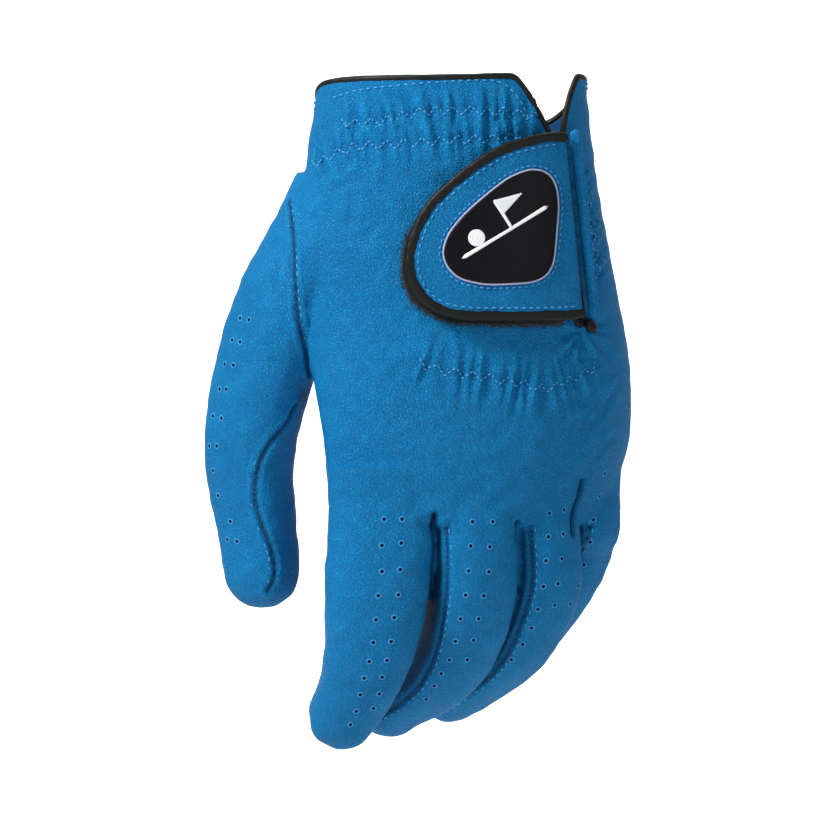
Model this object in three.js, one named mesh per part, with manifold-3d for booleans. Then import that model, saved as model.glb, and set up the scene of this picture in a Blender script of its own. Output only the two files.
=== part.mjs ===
// Left-hand golf glove, in millimetres, +Z up, hanging by its cuff with the fingers down.
// The back of the hand faces -Y, the palm faces +Y, and the thumb is on the -X side.
// The origin is the centre of the wrist opening.
import * as THREE from "three";
import { mergeVertices } from "three/addons/utils/BufferGeometryUtils.js";
import Module from "manifold-3d";

const wasm = await Module();
wasm.setup();

// Driving dimensions
const leather = 1.1; // thickness of a leather panel
const seamGap = 0.3; // clearance between neighbouring pieces
const knuckleZ = -132; // level where the four finger stalls begin
const handRoundness = 2.5; // superellipse power of the hand's section
const fingerRoundness = 2.3; // superellipse power of a finger's section
const handScale = 1; // girth of the whole hand
const fingerSeam = 34; // half angle that a side strip takes of a finger's section, in degrees
const fingerBend = 0.5; // where a finger's middle joint lies along its stall
const thumbBend = 0.5; // where the thumb's outer joint lies along its stall

const padThickness = 1.5; // loop pad and hook pad
const tabThickness = 1.3; // leather ply of the closure tab
const bindingWidth = 3; // edge binding of the tab
const bindingRadius = 1.4; // piping along the cuff
const slitWidth = 2.2; // opening in the back of the cuff, under the tab
const stripWidth = 3.6; // leather strip that covers the tab's root
const badgeRise = 0.9; // badge face above the tab's leather
const elasticWidth = 6;
const elasticThickness = 0.9;
const elasticClear = 0.5; // between an elastic's end and the slit
const mouthFlare = 1.5; // how far the slit's mouth leans into the upper elastic's end

// Heights of the closure's layers above the back of the hand
const loopPadBase = 2 * seamGap;
const hookPadBase = loopPadBase + padThickness + seamGap;
const tabBase = hookPadBase + padThickness + seamGap;
const tabTop = tabBase + tabThickness;
const bindingTop = tabTop + 0.5;

const degrees = Math.PI / 180;
const down = new THREE.Vector3(0, 0, -1);

// ---------- Hand ----------

// Sections of the hand at a height: left end of the middle line, its length, half depth, and the
// middle line's turn away from X at its left and right ends.
const handSections = [
  { z: 12, left: -39.5, y: 14, width: 83, depth: 18.5, turnLeft: -22, turnRight: 38 },
  { z: (knuckleZ * 35) / 132, left: -46.5, y: 13, width: 97, depth: 18.5, turnLeft: -17, turnRight: 42 },
  { z: (knuckleZ * 67) / 132, left: -47, y: 11, width: 106, depth: 18, turnLeft: -12, turnRight: 48 },
  { z: (knuckleZ * 90) / 132, left: -44, y: 9, width: 110, depth: 17, turnLeft: -8, turnRight: 55 },
  { z: (knuckleZ * 112) / 132, left: -40.5, y: 7, width: 110, depth: 15, turnLeft: -5, turnRight: 62 },
  { z: knuckleZ, left: -39, y: 5, width: 107, depth: 12, turnLeft: -3, turnRight: 68 },
];
const turnPower = 1.3; // how late the middle line turns

function blendSections(z) {
  const at = Math.min(Math.max(z, knuckleZ), handSections[0].z);
  const next = Math.max(1, handSections.findIndex((s) => s.z <= at));
  const [before, a, b, after] = [-2, -1, 0, 1].map(
    (n) => handSections[Math.min(Math.max(next + n, 0), handSections.length - 1)],
  );
  const t = (at - a.z) / (b.z - a.z);
  const mixed = {};
  for (const key of ["left", "y", "width", "depth", "turnLeft", "turnRight"]) {
    const slopeA = ((b[key] - before[key]) / (b.z - before.z)) * (b.z - a.z);
    const slopeB = ((after[key] - a[key]) / (after.z - a.z)) * (b.z - a.z);
    const [t2, t3] = [t * t, t * t * t];
    mixed[key] =
      a[key] * (2 * t3 - 3 * t2 + 1) +
      slopeA * (t3 - 2 * t2 + t) +
      b[key] * (3 * t2 - 2 * t3) +
      slopeB * (t3 - t2);
  }
  mixed.left *= handScale;
  mixed.width *= handScale;
  mixed.depth *= handScale;
  return mixed;
}

// Point and turn of the hand's middle line at a height, at a share of its length.
function middleLine(z, share) {
  const s = blendSections(z);
  const turn = (v) => (s.turnLeft + (s.turnRight - s.turnLeft) * Math.max(v, 0) ** turnPower) * degrees;
  const steps = 16;
  let [x, y] = [s.left, s.y];
  for (let i = 0; i < steps; i++) {
    const angle = turn(((i + 0.5) / steps) * share);
    x += (Math.cos(angle) * s.width * share) / steps;
    y += (Math.sin(angle) * s.width * share) / steps;
  }
  return { x, y, turn: turn(share), depth: s.depth, width: s.width };
}

function roundCorner(angle, power) {
  const curve = (v) => Math.sign(v) * Math.abs(v) ** (2 / power);
  return [curve(Math.cos(angle)), curve(Math.sin(angle))];
}

// Point on the hand at a height and section angle: 0 is the little-finger side, 90 the palm,
// 180 the thumb side and -90 the back. rise is how far it stands off the leather's outside.
function handPoint(z, angle, rise = 0) {
  const [across, through] = roundCorner(angle * degrees, handRoundness);
  const half = blendSections(z).width / 2;
  const share = 0.5 + (0.5 * across * (half + rise)) / half;
  const m = middleLine(z, share);
  const off = through * (m.depth + rise);
  return new THREE.Vector3(m.x - Math.sin(m.turn) * off, m.y + Math.cos(m.turn) * off, z);
}

// Height of the cuff's edge: high on the back of the hand, low on the palm.
function hemHeight(angle) {
  const [across, through] = roundCorner(angle * degrees, handRoundness);
  return -5.5 - 12.5 * Math.tanh(2 * through) + 1.5 * across;
}

// ---------- Fingers and thumb ----------

// A finger: its place along the knuckles, half widths and half thicknesses at its base and tip, and the
// way of its middle line from its base: across, away from the back, and down.
const fingers = {
  index: {
    place: 16.7, wide: [16.2, 9.4], thick: [12, 8], turnTip: 6,
    way: [[-0.8, 0.8, -21], [-1.8, 2.5, -35], [-3.8, 6, -47.5], [-6.8, 10, -57], [-10.8, 14.5, -65.8],
      [-17.5, 20.5, -77.8]],
  },
  middle: {
    place: 47.1, wide: [13.1, 8.6], thick: [12, 7.6], turnTip: 24,
    way: [[0, 3, -25], [-1.6, 7, -35.7], [-5.2, 12.5, -47.2], [-10.4, 18, -55.5], [-17.4, 23.5, -61.6],
      [-24, 28, -66], [-34, 33.5, -72.8]],
  },
  ring: {
    place: 72.8, wide: [11.3, 8], thick: [11, 7.2], turnTip: 40,
    way: [[0.6, 3, -25], [-2, 7, -34.5], [-5.6, 12, -43.4], [-11.6, 18, -51.7], [-18.4, 23, -57.4],
      [-26.2, 28, -63], [-36, 33, -68.5]],
  },
  little: {
    place: 96.4, wide: [9.9, 7.2], thick: [10, 6.8], turnTip: 52,
    way: [[-1.2, 4, -11], [-3.7, 9.3, -21], [-8.6, 14, -31.2], [-13.2, 18.5, -39.2], [-17.6, 22, -45.6],
      [-22.5, 26, -53]],
  },
};

const thumb = {
  wide: [15.5, 11.5], thick: [13.5, 10], turn: -38,
  way: [[-39, 13, -44], [-50, 15, -66], [-58.5, 19, -90], [-63.5, 24, -118], [-62.2, 27, -138],
    [-61, 28.5, -153], [-62, 29, -166.5]],
};

// A stall's middle line, section sizes and section directions along its length.
function stall(points, wide, thick, turnBase, turnTip) {
  const line = new THREE.CatmullRomCurve3(points, false, "centripetal");
  const length = line.getLength();
  const ease = (t) => THREE.MathUtils.smoothstep(t, 0.35, 1.05);
  const pointAt = (t, angle, rise = 0) => {
    const centre = line.getPointAt(t);
    const tangent = line.getTangentAt(t);
    const turn = THREE.MathUtils.lerp(turnBase, turnTip, t) * degrees;
    const across = new THREE.Vector3(Math.cos(turn), Math.sin(turn), 0);
    across.addScaledVector(tangent, -across.dot(tangent)).normalize();
    const through = new THREE.Vector3().crossVectors(across, tangent);
    const tipRadius = wide[1] + rise;
    const end = Math.max(0, (t * length - (length - wide[1])) / tipRadius);
    const dome = Math.sqrt(Math.max(0, 1 - end * end));
    const [a, b] = roundCorner(angle * degrees, fingerRoundness);
    const w = (THREE.MathUtils.lerp(wide[0], wide[1], ease(t)) + rise) * dome;
    const h = (THREE.MathUtils.lerp(thick[0], thick[1], ease(t)) + rise) * dome;
    return centre.addScaledVector(across, a * w).addScaledVector(through, b * h);
  };
  const domeEnd = (rise) => Math.min(1, 1 + rise / length);
  return { pointAt, length, domeEnd };
}

const knuckleWidth = handSections.at(-1).width;
const byGirth = (size) => size * handScale;
function fingerStall({ place, wide, thick, turnTip, way }) {
  const m = middleLine(knuckleZ, place / knuckleWidth);
  const base = new THREE.Vector3(m.x, m.y, knuckleZ - seamGap);
  const points = [base, base.clone().add(new THREE.Vector3(0, 0, -8))];
  const step = ([x, y, z]) => new THREE.Vector3(x * handScale, y * handScale, z);
  points.push(...way.map((offset) => base.clone().add(step(offset))));
  return stall(points, wide.map(byGirth), thick.map(byGirth), m.turn / degrees, turnTip);
}
const thumbStall = stall(
  thumb.way.map(([x, y, z]) => new THREE.Vector3(x * handScale, y, z)),
  thumb.wide.map(byGirth), thumb.thick.map(byGirth), thumb.turn, thumb.turn,
);

// ---------- Solids ----------

function toSolid(geometry) {
  const bare = geometry.clone();
  bare.deleteAttribute("normal");
  bare.deleteAttribute("uv");
  const merged = mergeVertices(bare, 1e-4);
  const triVerts = [];
  for (let i = 0; i < merged.index.count; i += 3) {
    const [a, b, c] = [0, 1, 2].map((n) => merged.index.getX(i + n));
    if (a !== b && b !== c && c !== a) triVerts.push(a, b, c);
  }
  const make = (tris) =>
    new wasm.Manifold(
      new wasm.Mesh({
        numProp: 3,
        vertProperties: new Float32Array(merged.attributes.position.array),
        triVerts: new Uint32Array(tris),
      }),
    );
  const made = make(triVerts);
  return made.volume() > 0 ? made : make(triVerts.reverse());
}

function toGeometry(solid) {
  const m = solid.getMesh();
  const corners = [];
  for (let i = 0; i < m.numVert; i++) {
    corners.push(...m.vertProperties.subarray(i * m.numProp, i * m.numProp + 3));
  }
  const geometry = new THREE.BufferGeometry();
  geometry.setAttribute("position", new THREE.Float32BufferAttribute(corners, 3));
  geometry.setIndex([...m.triVerts]);
  return geometry;
}

// A closed wall over a grid of stations and angles. pointAt gives its skin at a rise off the leather's
// outside; from and to are the rises of the wall's two skins.
function wall(pointAt, stations, angles, from, to) {
  const skins = [to, from].map((rise) => stations.map((s) => angles.map((a) => pointAt(s, a, rise))));
  const corners = [];
  const quad = (a, b, c, d) => corners.push(a, b, c, a, c, d);
  const [outer, inner] = skins;
  const [lastStation, lastAngle] = [stations.length - 1, angles.length - 1];
  for (let i = 0; i < lastStation; i++) {
    for (let j = 0; j < lastAngle; j++) {
      quad(outer[i][j], outer[i][j + 1], outer[i + 1][j + 1], outer[i + 1][j]);
      quad(inner[i][j], inner[i + 1][j], inner[i + 1][j + 1], inner[i][j + 1]);
    }
    quad(outer[i][0], outer[i + 1][0], inner[i + 1][0], inner[i][0]);
    quad(outer[i][lastAngle], inner[i][lastAngle], inner[i + 1][lastAngle], outer[i + 1][lastAngle]);
  }
  for (let j = 0; j < lastAngle; j++) {
    quad(outer[0][j], inner[0][j], inner[0][j + 1], outer[0][j + 1]);
    quad(outer[lastStation][j], outer[lastStation][j + 1], inner[lastStation][j + 1], inner[lastStation][j]);
  }
  const geometry = new THREE.BufferGeometry();
  geometry.setAttribute(
    "position",
    new THREE.Float32BufferAttribute(corners.flatMap((p) => p.toArray()), 3),
  );
  return toSolid(geometry);
}

// A filled body of a stall or of the hand, for cutting: rings of points closed by a fan at each end.
function filled(pointAt, stations, rise) {
  const around = 28;
  const rings = stations.map((s) =>
    Array.from({ length: around }, (_, i) => pointAt(s, (i / around) * 360, rise)),
  );
  const corners = [];
  for (let i = 0; i + 1 < rings.length; i++) {
    for (let j = 0; j < around; j++) {
      const k = (j + 1) % around;
      corners.push(rings[i][j], rings[i][k], rings[i + 1][k]);
      corners.push(rings[i][j], rings[i + 1][k], rings[i + 1][j]);
    }
  }
  for (const [ring, flip] of [[rings[0], true], [rings.at(-1), false]]) {
    const centre = ring.reduce((sum, p) => sum.add(p), new THREE.Vector3()).divideScalar(around);
    for (let j = 0; j < around; j++) {
      const [a, b] = [ring[j], ring[(j + 1) % around]];
      corners.push(...(flip ? [centre, b, a] : [centre, a, b]));
    }
  }
  const geometry = new THREE.BufferGeometry();
  geometry.setAttribute(
    "position",
    new THREE.Float32BufferAttribute(corners.flatMap((p) => p.toArray()), 3),
  );
  return toSolid(geometry);
}

const spread = (from, to, count) =>
  Array.from({ length: count + 1 }, (_, i) => from + ((to - from) * i) / count);

// An outline drawn in X and Z, run through the hand along Y.
function throughHand(outline, nearY = -60, farY = 12) {
  const shape = new THREE.Shape(outline);
  const geometry = new THREE.ExtrudeGeometry(shape, { depth: farY - nearY, bevelEnabled: false });
  geometry.rotateX(Math.PI / 2);
  geometry.translate(0, farY, 0);
  return toSolid(geometry);
}

// ---------- Outlines on the back of the hand ----------

const v2 = (x, z) => new THREE.Vector2(x, z);

// Moves each point of an open or closed line sideways, to its left as the line runs.
function sideStep(points, distance, closed = false) {
  return points.map((p, i) => {
    const n = points.length;
    const before = points[closed ? (i + n - 1) % n : Math.max(i - 1, 0)];
    const after = points[closed ? (i + 1) % n : Math.min(i + 1, n - 1)];
    const run = after.clone().sub(before).normalize();
    return v2(p.x - run.y * distance, p.y + run.x * distance);
  });
}

// The tab's free edge, from the top of its root round its nose to the bottom of its root.
const rootTop = v2(37.2, -14.2);
const rootBottom = v2(43.9, -72.8);
const tabEdge = (() => {
  const path = new THREE.Path();
  path.moveTo(rootTop.x, rootTop.y);
  path.bezierCurveTo(17, -13, -13.2, -34, -14.2, -54.5);
  path.bezierCurveTo(-14.4, -67, -6, -73.3, 7, -74);
  path.lineTo(rootBottom.x, rootBottom.y);
  return path.getPoints(9);
})();
const rootGap = 0.5; // between the tab and the strip at its root
function tabOutline(inset) {
  const edge = sideStep(tabEdge, inset);
  const side = rootBottom.clone().sub(rootTop).normalize();
  const clear = v2(-side.y, side.x).multiplyScalar(-rootGap);
  const top = rootTop.clone().addScaledVector(side, inset).add(clear);
  const bottom = rootBottom.clone().addScaledVector(side, -inset).add(clear);
  return [top, ...edge.slice(1, -1), bottom];
}

// The slit in the cuff: a wide mouth at the top, then a narrow slot down to its round end.
const slitLine = [v2(33.6, -15), v2(37, -44), v2(42, -75)];
function slitOutline(outset) {
  const half = slitWidth / 2 + outset;
  const left = slitLine.map((p) => v2(p.x - half, p.y));
  const right = slitLine.map((p) => v2(p.x + half, p.y)).reverse();
  const end = slitLine.at(-1);
  const round = [150, 120, 90, 60, 30].map((a) =>
    v2(end.x - half * -Math.cos(a * degrees), end.y - half * Math.sin(a * degrees)),
  );
  const mouthLeft = [[13, 14], [20.2, 5.4], [24, 1.3], [26.9, -4.2], [29.4, -9]];
  const mouthRight = [[37.8, -3.5], [44, 14]];
  return [
    ...mouthLeft.map(([x, z]) => v2(x - outset, z)),
    ...left, ...round, ...right,
    ...mouthRight.map(([x, z]) => v2(x + outset, z)),
  ];
}

// A layer that follows the back of the hand inside an outline.
function backLayer(outline, from, to, heights = [16, -100], angles = [-150, -18]) {
  const slab = wall(
    (z, a, rise) => handPoint(z, a, rise),
    spread(heights[0], heights[1], 12),
    spread(angles[0], angles[1], 16),
    from,
    to,
  );
  return slab.intersect(throughHand(outline));
}

const backLeather = new THREE.MeshStandardMaterial({ color: 0x0b66ad, roughness: 0.55 });
const sideLeather = new THREE.MeshStandardMaterial({ color: 0x0a5da0, roughness: 0.58 });
const blackBinding = new THREE.MeshStandardMaterial({ color: 0x15151a, roughness: 0.6 });
const blackPile = new THREE.MeshStandardMaterial({ color: 0x101012, roughness: 0.95 });
const badgeRubber = new THREE.MeshStandardMaterial({ color: 0x101116, roughness: 0.4 });
const badgePrint = new THREE.MeshStandardMaterial({ color: 0xf4f4f4, roughness: 0.5 });
const elasticWeb = new THREE.MeshStandardMaterial({ color: 0x1b5f9a, roughness: 0.9 });

const glove = new THREE.Group();
function add(name, solid, material) {
  const mesh = new THREE.Mesh(toGeometry(solid), material);
  mesh.name = name;
  glove.add(mesh);
}

// ---------- Hand panels ----------

// One panel of a stall, in two lengths that meet at the bend.
function stallPanel({ pointAt, length }, angles, bend) {
  const tipStations = spread(0, 0.7, 4).concat(0.82, 0.91, 0.97, 1);
  const root = spread(0, bend - seamGap / length, 5);
  const tip = tipStations.map((t) => THREE.MathUtils.lerp(bend, 1, t));
  return [root, tip].map((stations) => wall(pointAt, stations, angles, -leather, 0));
}

const thumbFill = filled(thumbStall.pointAt, [...spread(0, 0.8, 10), 0.9, 0.96, 0.99], 2 * seamGap);
const thumbBore = filled(thumbStall.pointAt, spread(0, 0.6, 8), -leather);
const handStations = spread(0, 1, 15);
const handWall = (share, angle, rise) => {
  const top = hemHeight(angle);
  return handPoint(top + (knuckleZ - top) * share, angle, rise);
};
const sideSeam = 12; // where back and palm panels meet, in degrees past each side
const gapAngle = 0.35; // seam clearance along the hand's section, in degrees
const backPanel = wall(
  handWall, handStations, spread(-180 + sideSeam + gapAngle, sideSeam - gapAngle, 28), -leather, 0,
);
const palmPanel = wall(
  handWall, handStations, spread(sideSeam + gapAngle, 180 + sideSeam - gapAngle, 20), -leather, 0,
);
add("back_panel", backPanel.subtract(thumbFill).subtract(throughHand(slitOutline(0))), backLeather);
add("palm_panel", palmPanel.subtract(thumbFill), backLeather);

// ---------- Thumb ----------

const handFill = filled((share, angle, rise) => handWall(share, angle, rise), handStations, seamGap);
const thumbPanels = { back: [90, 270], front: [-90, 90] };
const thumbSeamShift = -20; // the thumb's seams lie forward of its sides, in degrees
for (const [side, [start, end]] of Object.entries(thumbPanels)) {
  const angles = spread(start + thumbSeamShift + 1, end + thumbSeamShift - 1, 10);
  const [root, tip] = stallPanel(thumbStall, angles, thumbBend);
  add(`thumb_${side}_root`, root.subtract(handFill), sideLeather);
  add(`thumb_${side}_tip`, tip, sideLeather);
}

// ---------- Fingers ----------

// Section angles of the panels of one finger. The index and little fingers wrap their outer side.
const s = fingerSeam;
const fingerPanels = {
  index: { back: [-180 - s, -s], palm: [s, 180 - s], outer_side: [-s, s] },
  middle: { back: [-180 + s, -s], palm: [s, 180 - s], outer_side: [-s, s], inner_side: [180 - s, 180 + s] },
  ring: { back: [-180 + s, -s], palm: [s, 180 - s], outer_side: [-s, s], inner_side: [180 - s, 180 + s] },
  little: { back: [-180 + s, s], palm: [s, 180 - s], inner_side: [180 - s, 180 + s] },
};
for (const [name, finger] of Object.entries(fingers)) {
  const made = fingerStall(finger);
  for (const [panel, [start, end]] of Object.entries(fingerPanels[name])) {
    const steps = Math.round((end - start) / 16);
    const angles = spread(start + 0.8, end - 0.8, steps);
    const [base, tip] = stallPanel(made, angles, fingerBend);
    const material = panel.endsWith("side") ? sideLeather : backLeather;
    add(`${name}_${panel}_base`, base, material);
    add(`${name}_${panel}_tip`, tip, material);
  }
}

// ---------- Closure ----------

const tabInner = tabOutline(bindingWidth);
const bindingOuter = throughHand(tabOutline(0));
const bindingHole = throughHand(tabOutline(bindingWidth - seamGap));
const rootSide = rootBottom.clone().sub(rootTop).normalize();
const openRoot = throughHand(
  [[-bindingWidth - 1, -1], [-bindingWidth - 1, 1], [9, 1], [9, -1]].map(([out, end]) => {
    const from = end > 0 ? rootTop : rootBottom;
    const along = rootSide.clone().multiplyScalar(end * (bindingWidth - seamGap));
    return v2(from.x + along.x + out, from.y + along.y);
  }),
);
const bindingSlab = backLayer(tabOutline(0), hookPadBase, bindingTop);
add("tab_binding", bindingSlab.subtract(bindingHole).subtract(openRoot), blackBinding);
add("tab_leather", backLayer(tabInner, tabBase, tabTop), backLeather);
add("tab_hook_pad", backLayer(tabInner, hookPadBase, hookPadBase + padThickness), blackPile);

const loopEdge = [v2(30, -19), v2(15, -21.5), v2(-6.4, -34.2), v2(-16.3, -56), v2(-12.5, -68.5), v2(0, -75.4),
  v2(35, -75.4), v2(38.6, -72), v2(34, -44), v2(31, -20)];
const padEdge = new THREE.CatmullRomCurve3(
  loopEdge.slice(0, 7).map((p) => new THREE.Vector3(p.x, 0, p.y)), false, "centripetal",
);
const loopOutline = [
  ...padEdge.getPoints(16).map((p) => v2(p.x, p.z)),
  ...loopEdge.slice(7).map((p) => v2(p.x - seamGap, p.y)),
];
const slitFold = throughHand(slitOutline(bindingWidth));
const loopPad = backLayer(loopOutline, loopPadBase, loopPadBase + padThickness);
add("loop_pad", loopPad.subtract(slitFold), blackPile);

// The strip that covers the tab's root, on the little-finger side of the slit.
const stripOutline = [
  v2(rootTop.x + rootGap, rootTop.y + 1),
  v2(rootBottom.x + rootGap, rootBottom.y - 2),
  v2(rootBottom.x + rootGap + stripWidth, rootBottom.y - 2),
  v2(rootTop.x + rootGap + stripWidth, rootTop.y + 1),
];
add("tab_root_strip", backLayer(stripOutline, loopPadBase + padThickness + seamGap, tabTop), sideLeather);

const slitBinding = backLayer(slitOutline(bindingWidth - 0.4), loopPadBase, loopPadBase + padThickness)
  .subtract(throughHand(slitOutline(0.4)));
const cuffLevel = wall(
  handWall, [0, 1], spread(-180, 20, 24), -4, 4,
);
add("slit_binding", slitBinding.intersect(cuffLevel).decompose()[0], blackBinding);

// ---------- Badge ----------

const badgeCentre = handPoint(-44.4, -85.5, tabTop + badgeRise);
const badgeNormal = (() => {
  const corners = [[-28, -85.5], [-60, -95.5], [-60, -75.5]];
  const [a, b, c] = corners.map(([z, angle]) => handPoint(z, angle, tabTop));
  return new THREE.Vector3().crossVectors(b.clone().sub(a), c.clone().sub(a)).normalize();
})();
if (badgeNormal.y > 0) badgeNormal.negate();
const badgeFrame = (() => {
  const up = new THREE.Vector3(0, 0, 1).addScaledVector(badgeNormal, -badgeNormal.z).normalize();
  const right = new THREE.Vector3().crossVectors(up, badgeNormal);
  return new THREE.Matrix4().makeBasis(right, up, badgeNormal).setPosition(badgeCentre);
})();
function badgeShape(inset) {
  const corners = [[-18.8, -8], [-14, 2], [-4, 11], [9.5, 18.8], [16, 17], [18.8, 8], [17.3, -11.5],
    [13.5, -16.8], [-4, -18.6], [-14, -16.5], [-18.4, -12]];
  const line = new THREE.CatmullRomCurve3(
    corners.map(([x, y]) => new THREE.Vector3(x, y, 0)), true, "centripetal",
  );
  return sideStep(line.getPoints(30).slice(0, -1).map((p) => v2(p.x, p.y)), -inset, true);
}
function badgePlate(outline, from, to) {
  const geometry = new THREE.ExtrudeGeometry(new THREE.Shape(outline), {
    depth: to - from,
    bevelEnabled: false,
  });
  geometry.translate(0, 0, from);
  geometry.applyMatrix4(badgeFrame);
  return toSolid(geometry);
}
const rimWidth = 0.9;
const belowBadge = wall(
  (z, a, rise) => handPoint(z, a, rise), spread(0, -90, 12), spread(-150, -18, 16),
  -10, tabTop + seamGap,
);
const badgeDepth = -6; // deep enough for the plate's back to reach the tab's leather
const badgeFace = badgePlate(badgeShape(rimWidth + seamGap), badgeDepth, 0).subtract(belowBadge);
const badgeRim = badgePlate(badgeShape(0), badgeDepth, 0)
  .subtract(badgePlate(badgeShape(rimWidth), badgeDepth - 1, 1)).subtract(belowBadge);
add("tab_badge", badgeFace, badgeRubber);
add("badge_rim", badgeRim, badgePrint);

// ---------- Cuff piping and elastics ----------

const hemAngles = spread(-52, -390, 60);
const hemPoint = (angle, lift = 0) => handPoint(hemHeight(angle) + lift, angle, -leather / 2);
const hemLine = new THREE.CatmullRomCurve3(
  hemAngles.map((a) => {
    const run = hemPoint(a + 2).sub(hemPoint(a - 2));
    const steepness = run.length() / Math.hypot(run.x, run.y);
    return hemPoint(a, (bindingRadius + 2 * seamGap) * steepness);
  }),
  false, "centripetal",
);
const onRing = (a) => v2(bindingRadius * Math.cos(a), bindingRadius * Math.sin(a));
const ringShape = new THREE.Shape(spread(0, 315, 7).map((a) => onRing(a * degrees)));
const piping = toSolid(
  new THREE.ExtrudeGeometry(ringShape, { extrudePath: hemLine, steps: 60, bevelEnabled: false }),
);
add("cuff_binding", piping.subtract(throughHand(slitOutline(0.4))).decompose()[0], blackBinding);

// The section angle at which the back of the hand comes within a distance of the slit's left side.
function angleBySlit(z, clear) {
  const side = slitLine[0].x - slitWidth / 2 - (z > slitLine[0].y ? mouthFlare : 0) - clear;
  let angle = -150;
  while (angle < -20 && handPoint(z, angle).x < side) angle += 1;
  return angle - 1;
}

function elastic(name, topZ, angles, width) {
  const under = -leather - 2 * seamGap;
  const solid = wall(
    (z, a, rise) => handPoint(z, a, rise),
    spread(topZ, topZ - width, 2), spread(angles[0], angles[1], 14),
    under - elasticThickness, under,
  );
  add(name, solid.subtract(throughHand(slitOutline(seamGap))).subtract(thumbBore), elasticWeb);
}
elastic("wrist_elastic_upper", -7, [-168, angleBySlit(-7, elasticClear)], elasticWidth);
elastic("wrist_elastic_lower", -19, [-168, angleBySlit(-19, elasticClear)], elasticWidth);
elastic("back_elastic", -86, [-112, -52], elasticWidth);
elastic("side_elastic", -30, [-38, -2], elasticWidth * 5);

export default glove;
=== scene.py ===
import math
import random

import bmesh
import bpy
import numpy as np
from mathutils import Matrix, Vector
from mathutils.bvhtree import BVHTree


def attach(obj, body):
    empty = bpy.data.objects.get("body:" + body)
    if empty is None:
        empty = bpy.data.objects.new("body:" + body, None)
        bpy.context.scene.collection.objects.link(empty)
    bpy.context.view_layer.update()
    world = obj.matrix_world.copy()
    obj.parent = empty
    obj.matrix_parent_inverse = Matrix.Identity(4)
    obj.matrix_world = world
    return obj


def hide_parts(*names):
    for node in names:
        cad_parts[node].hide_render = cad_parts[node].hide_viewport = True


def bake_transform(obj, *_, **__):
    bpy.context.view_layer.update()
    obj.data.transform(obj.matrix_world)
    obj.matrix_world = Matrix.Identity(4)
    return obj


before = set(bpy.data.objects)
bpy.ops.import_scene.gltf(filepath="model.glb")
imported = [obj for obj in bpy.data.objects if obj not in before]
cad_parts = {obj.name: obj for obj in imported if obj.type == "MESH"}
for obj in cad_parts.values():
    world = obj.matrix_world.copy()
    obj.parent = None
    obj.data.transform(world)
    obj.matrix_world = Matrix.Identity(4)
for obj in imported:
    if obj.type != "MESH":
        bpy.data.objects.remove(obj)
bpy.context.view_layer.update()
mm = 0.001
random.seed(7)

# the hand's form, one row per height: left end of its middle line, y, girth along it, half depth, turns
handForm = {
    "rows": [
        (22, -38.5, 14.3, 81, 18.5, -22, 38),
        (12, -39.8, 14, 83.5, 18.5, -22, 38),
        (-35, -46.5, 13, 97, 18.5, -17, 42),
        (-67, -47, 11, 106, 18, -12, 48),
        (-90, -44, 9, 110, 17, -8, 55),
        (-112, -40.5, 7, 110, 15, -5, 62),
        (-132, -39, 5, 107, 12, -3, 68),
        (-140, -38.6, 4.6, 105, 11, -3, 69),
    ],
    "roundness": 2.5,
    "turnPower": 1.3,
    "wall": 1.15,
    "voxel": 0.8,
}

# each stall: place along the knuckles, half widths, half thicknesses, turn at the tip, way of its middle
stalls = {
    "index": dict(place=16.7, wide=(16.9, 9.7), thick=(12, 8.2), turnTip=6, way=[
        (-0.8, 0.8, -21), (-1.8, 2.5, -35), (-3.8, 6, -47.5), (-6.8, 10, -57), (-10.8, 14.5, -65.8),
        (-17.5, 20.5, -77.8)]),
    "middle": dict(place=47.1, wide=(13.9, 8.5), thick=(12, 7.8), turnTip=24, way=[
        (0, 3, -25), (-1.6, 7, -35.7), (-5.2, 12.5, -47.2), (-10.4, 18, -55.5), (-17.4, 23.5, -61.6),
        (-24, 28, -66), (-34, 33.5, -72.8)]),
    "ring": dict(place=72.8, wide=(12.1, 7.9), thick=(11, 7.3), turnTip=40, way=[
        (0.6, 3, -25), (-2, 7, -34.5), (-5.6, 12, -43.4), (-11.6, 18, -51.7), (-18.4, 23, -57.4),
        (-26.2, 28, -63), (-36, 33, -68.5)]),
    "little": dict(place=96.4, wide=(10.4, 7.0), thick=(10, 6.9), turnTip=52, way=[
        (-1.2, 4, -11), (-3.7, 9.3, -21), (-8.6, 14, -31.2), (-13.2, 18.5, -39.2), (-17.6, 22, -45.6),
        (-22.5, 26, -53)]),
}
thumbForm = dict(wide=(16.3, 11.6), thick=(13.5, 10), turn=-38, way=[
    (-33, 12, -30), (-39.5, 13, -44), (-51.6, 15, -66), (-59.8, 19, -90), (-64.6, 24, -118),
    (-62.8, 27, -138), (-61, 28.5, -153), (-61.6, 29, -166.5)])
stallRoundness = 2.65
knuckleLevel = -132
knuckleWidth = 107
blendEnds = {"index": (-134, -150), "middle": (-134, -150), "ring": (-134, -149), "little": (-134, -146)}


def unit(v):
    return v / np.maximum(np.linalg.norm(v, axis=-1, keepdims=True), 1e-9)


def superRound(angle, power):
    c, s = np.cos(angle), np.sin(angle)
    return np.sign(c) * np.abs(c) ** (2 / power), np.sign(s) * np.abs(s) ** (2 / power)


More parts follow.
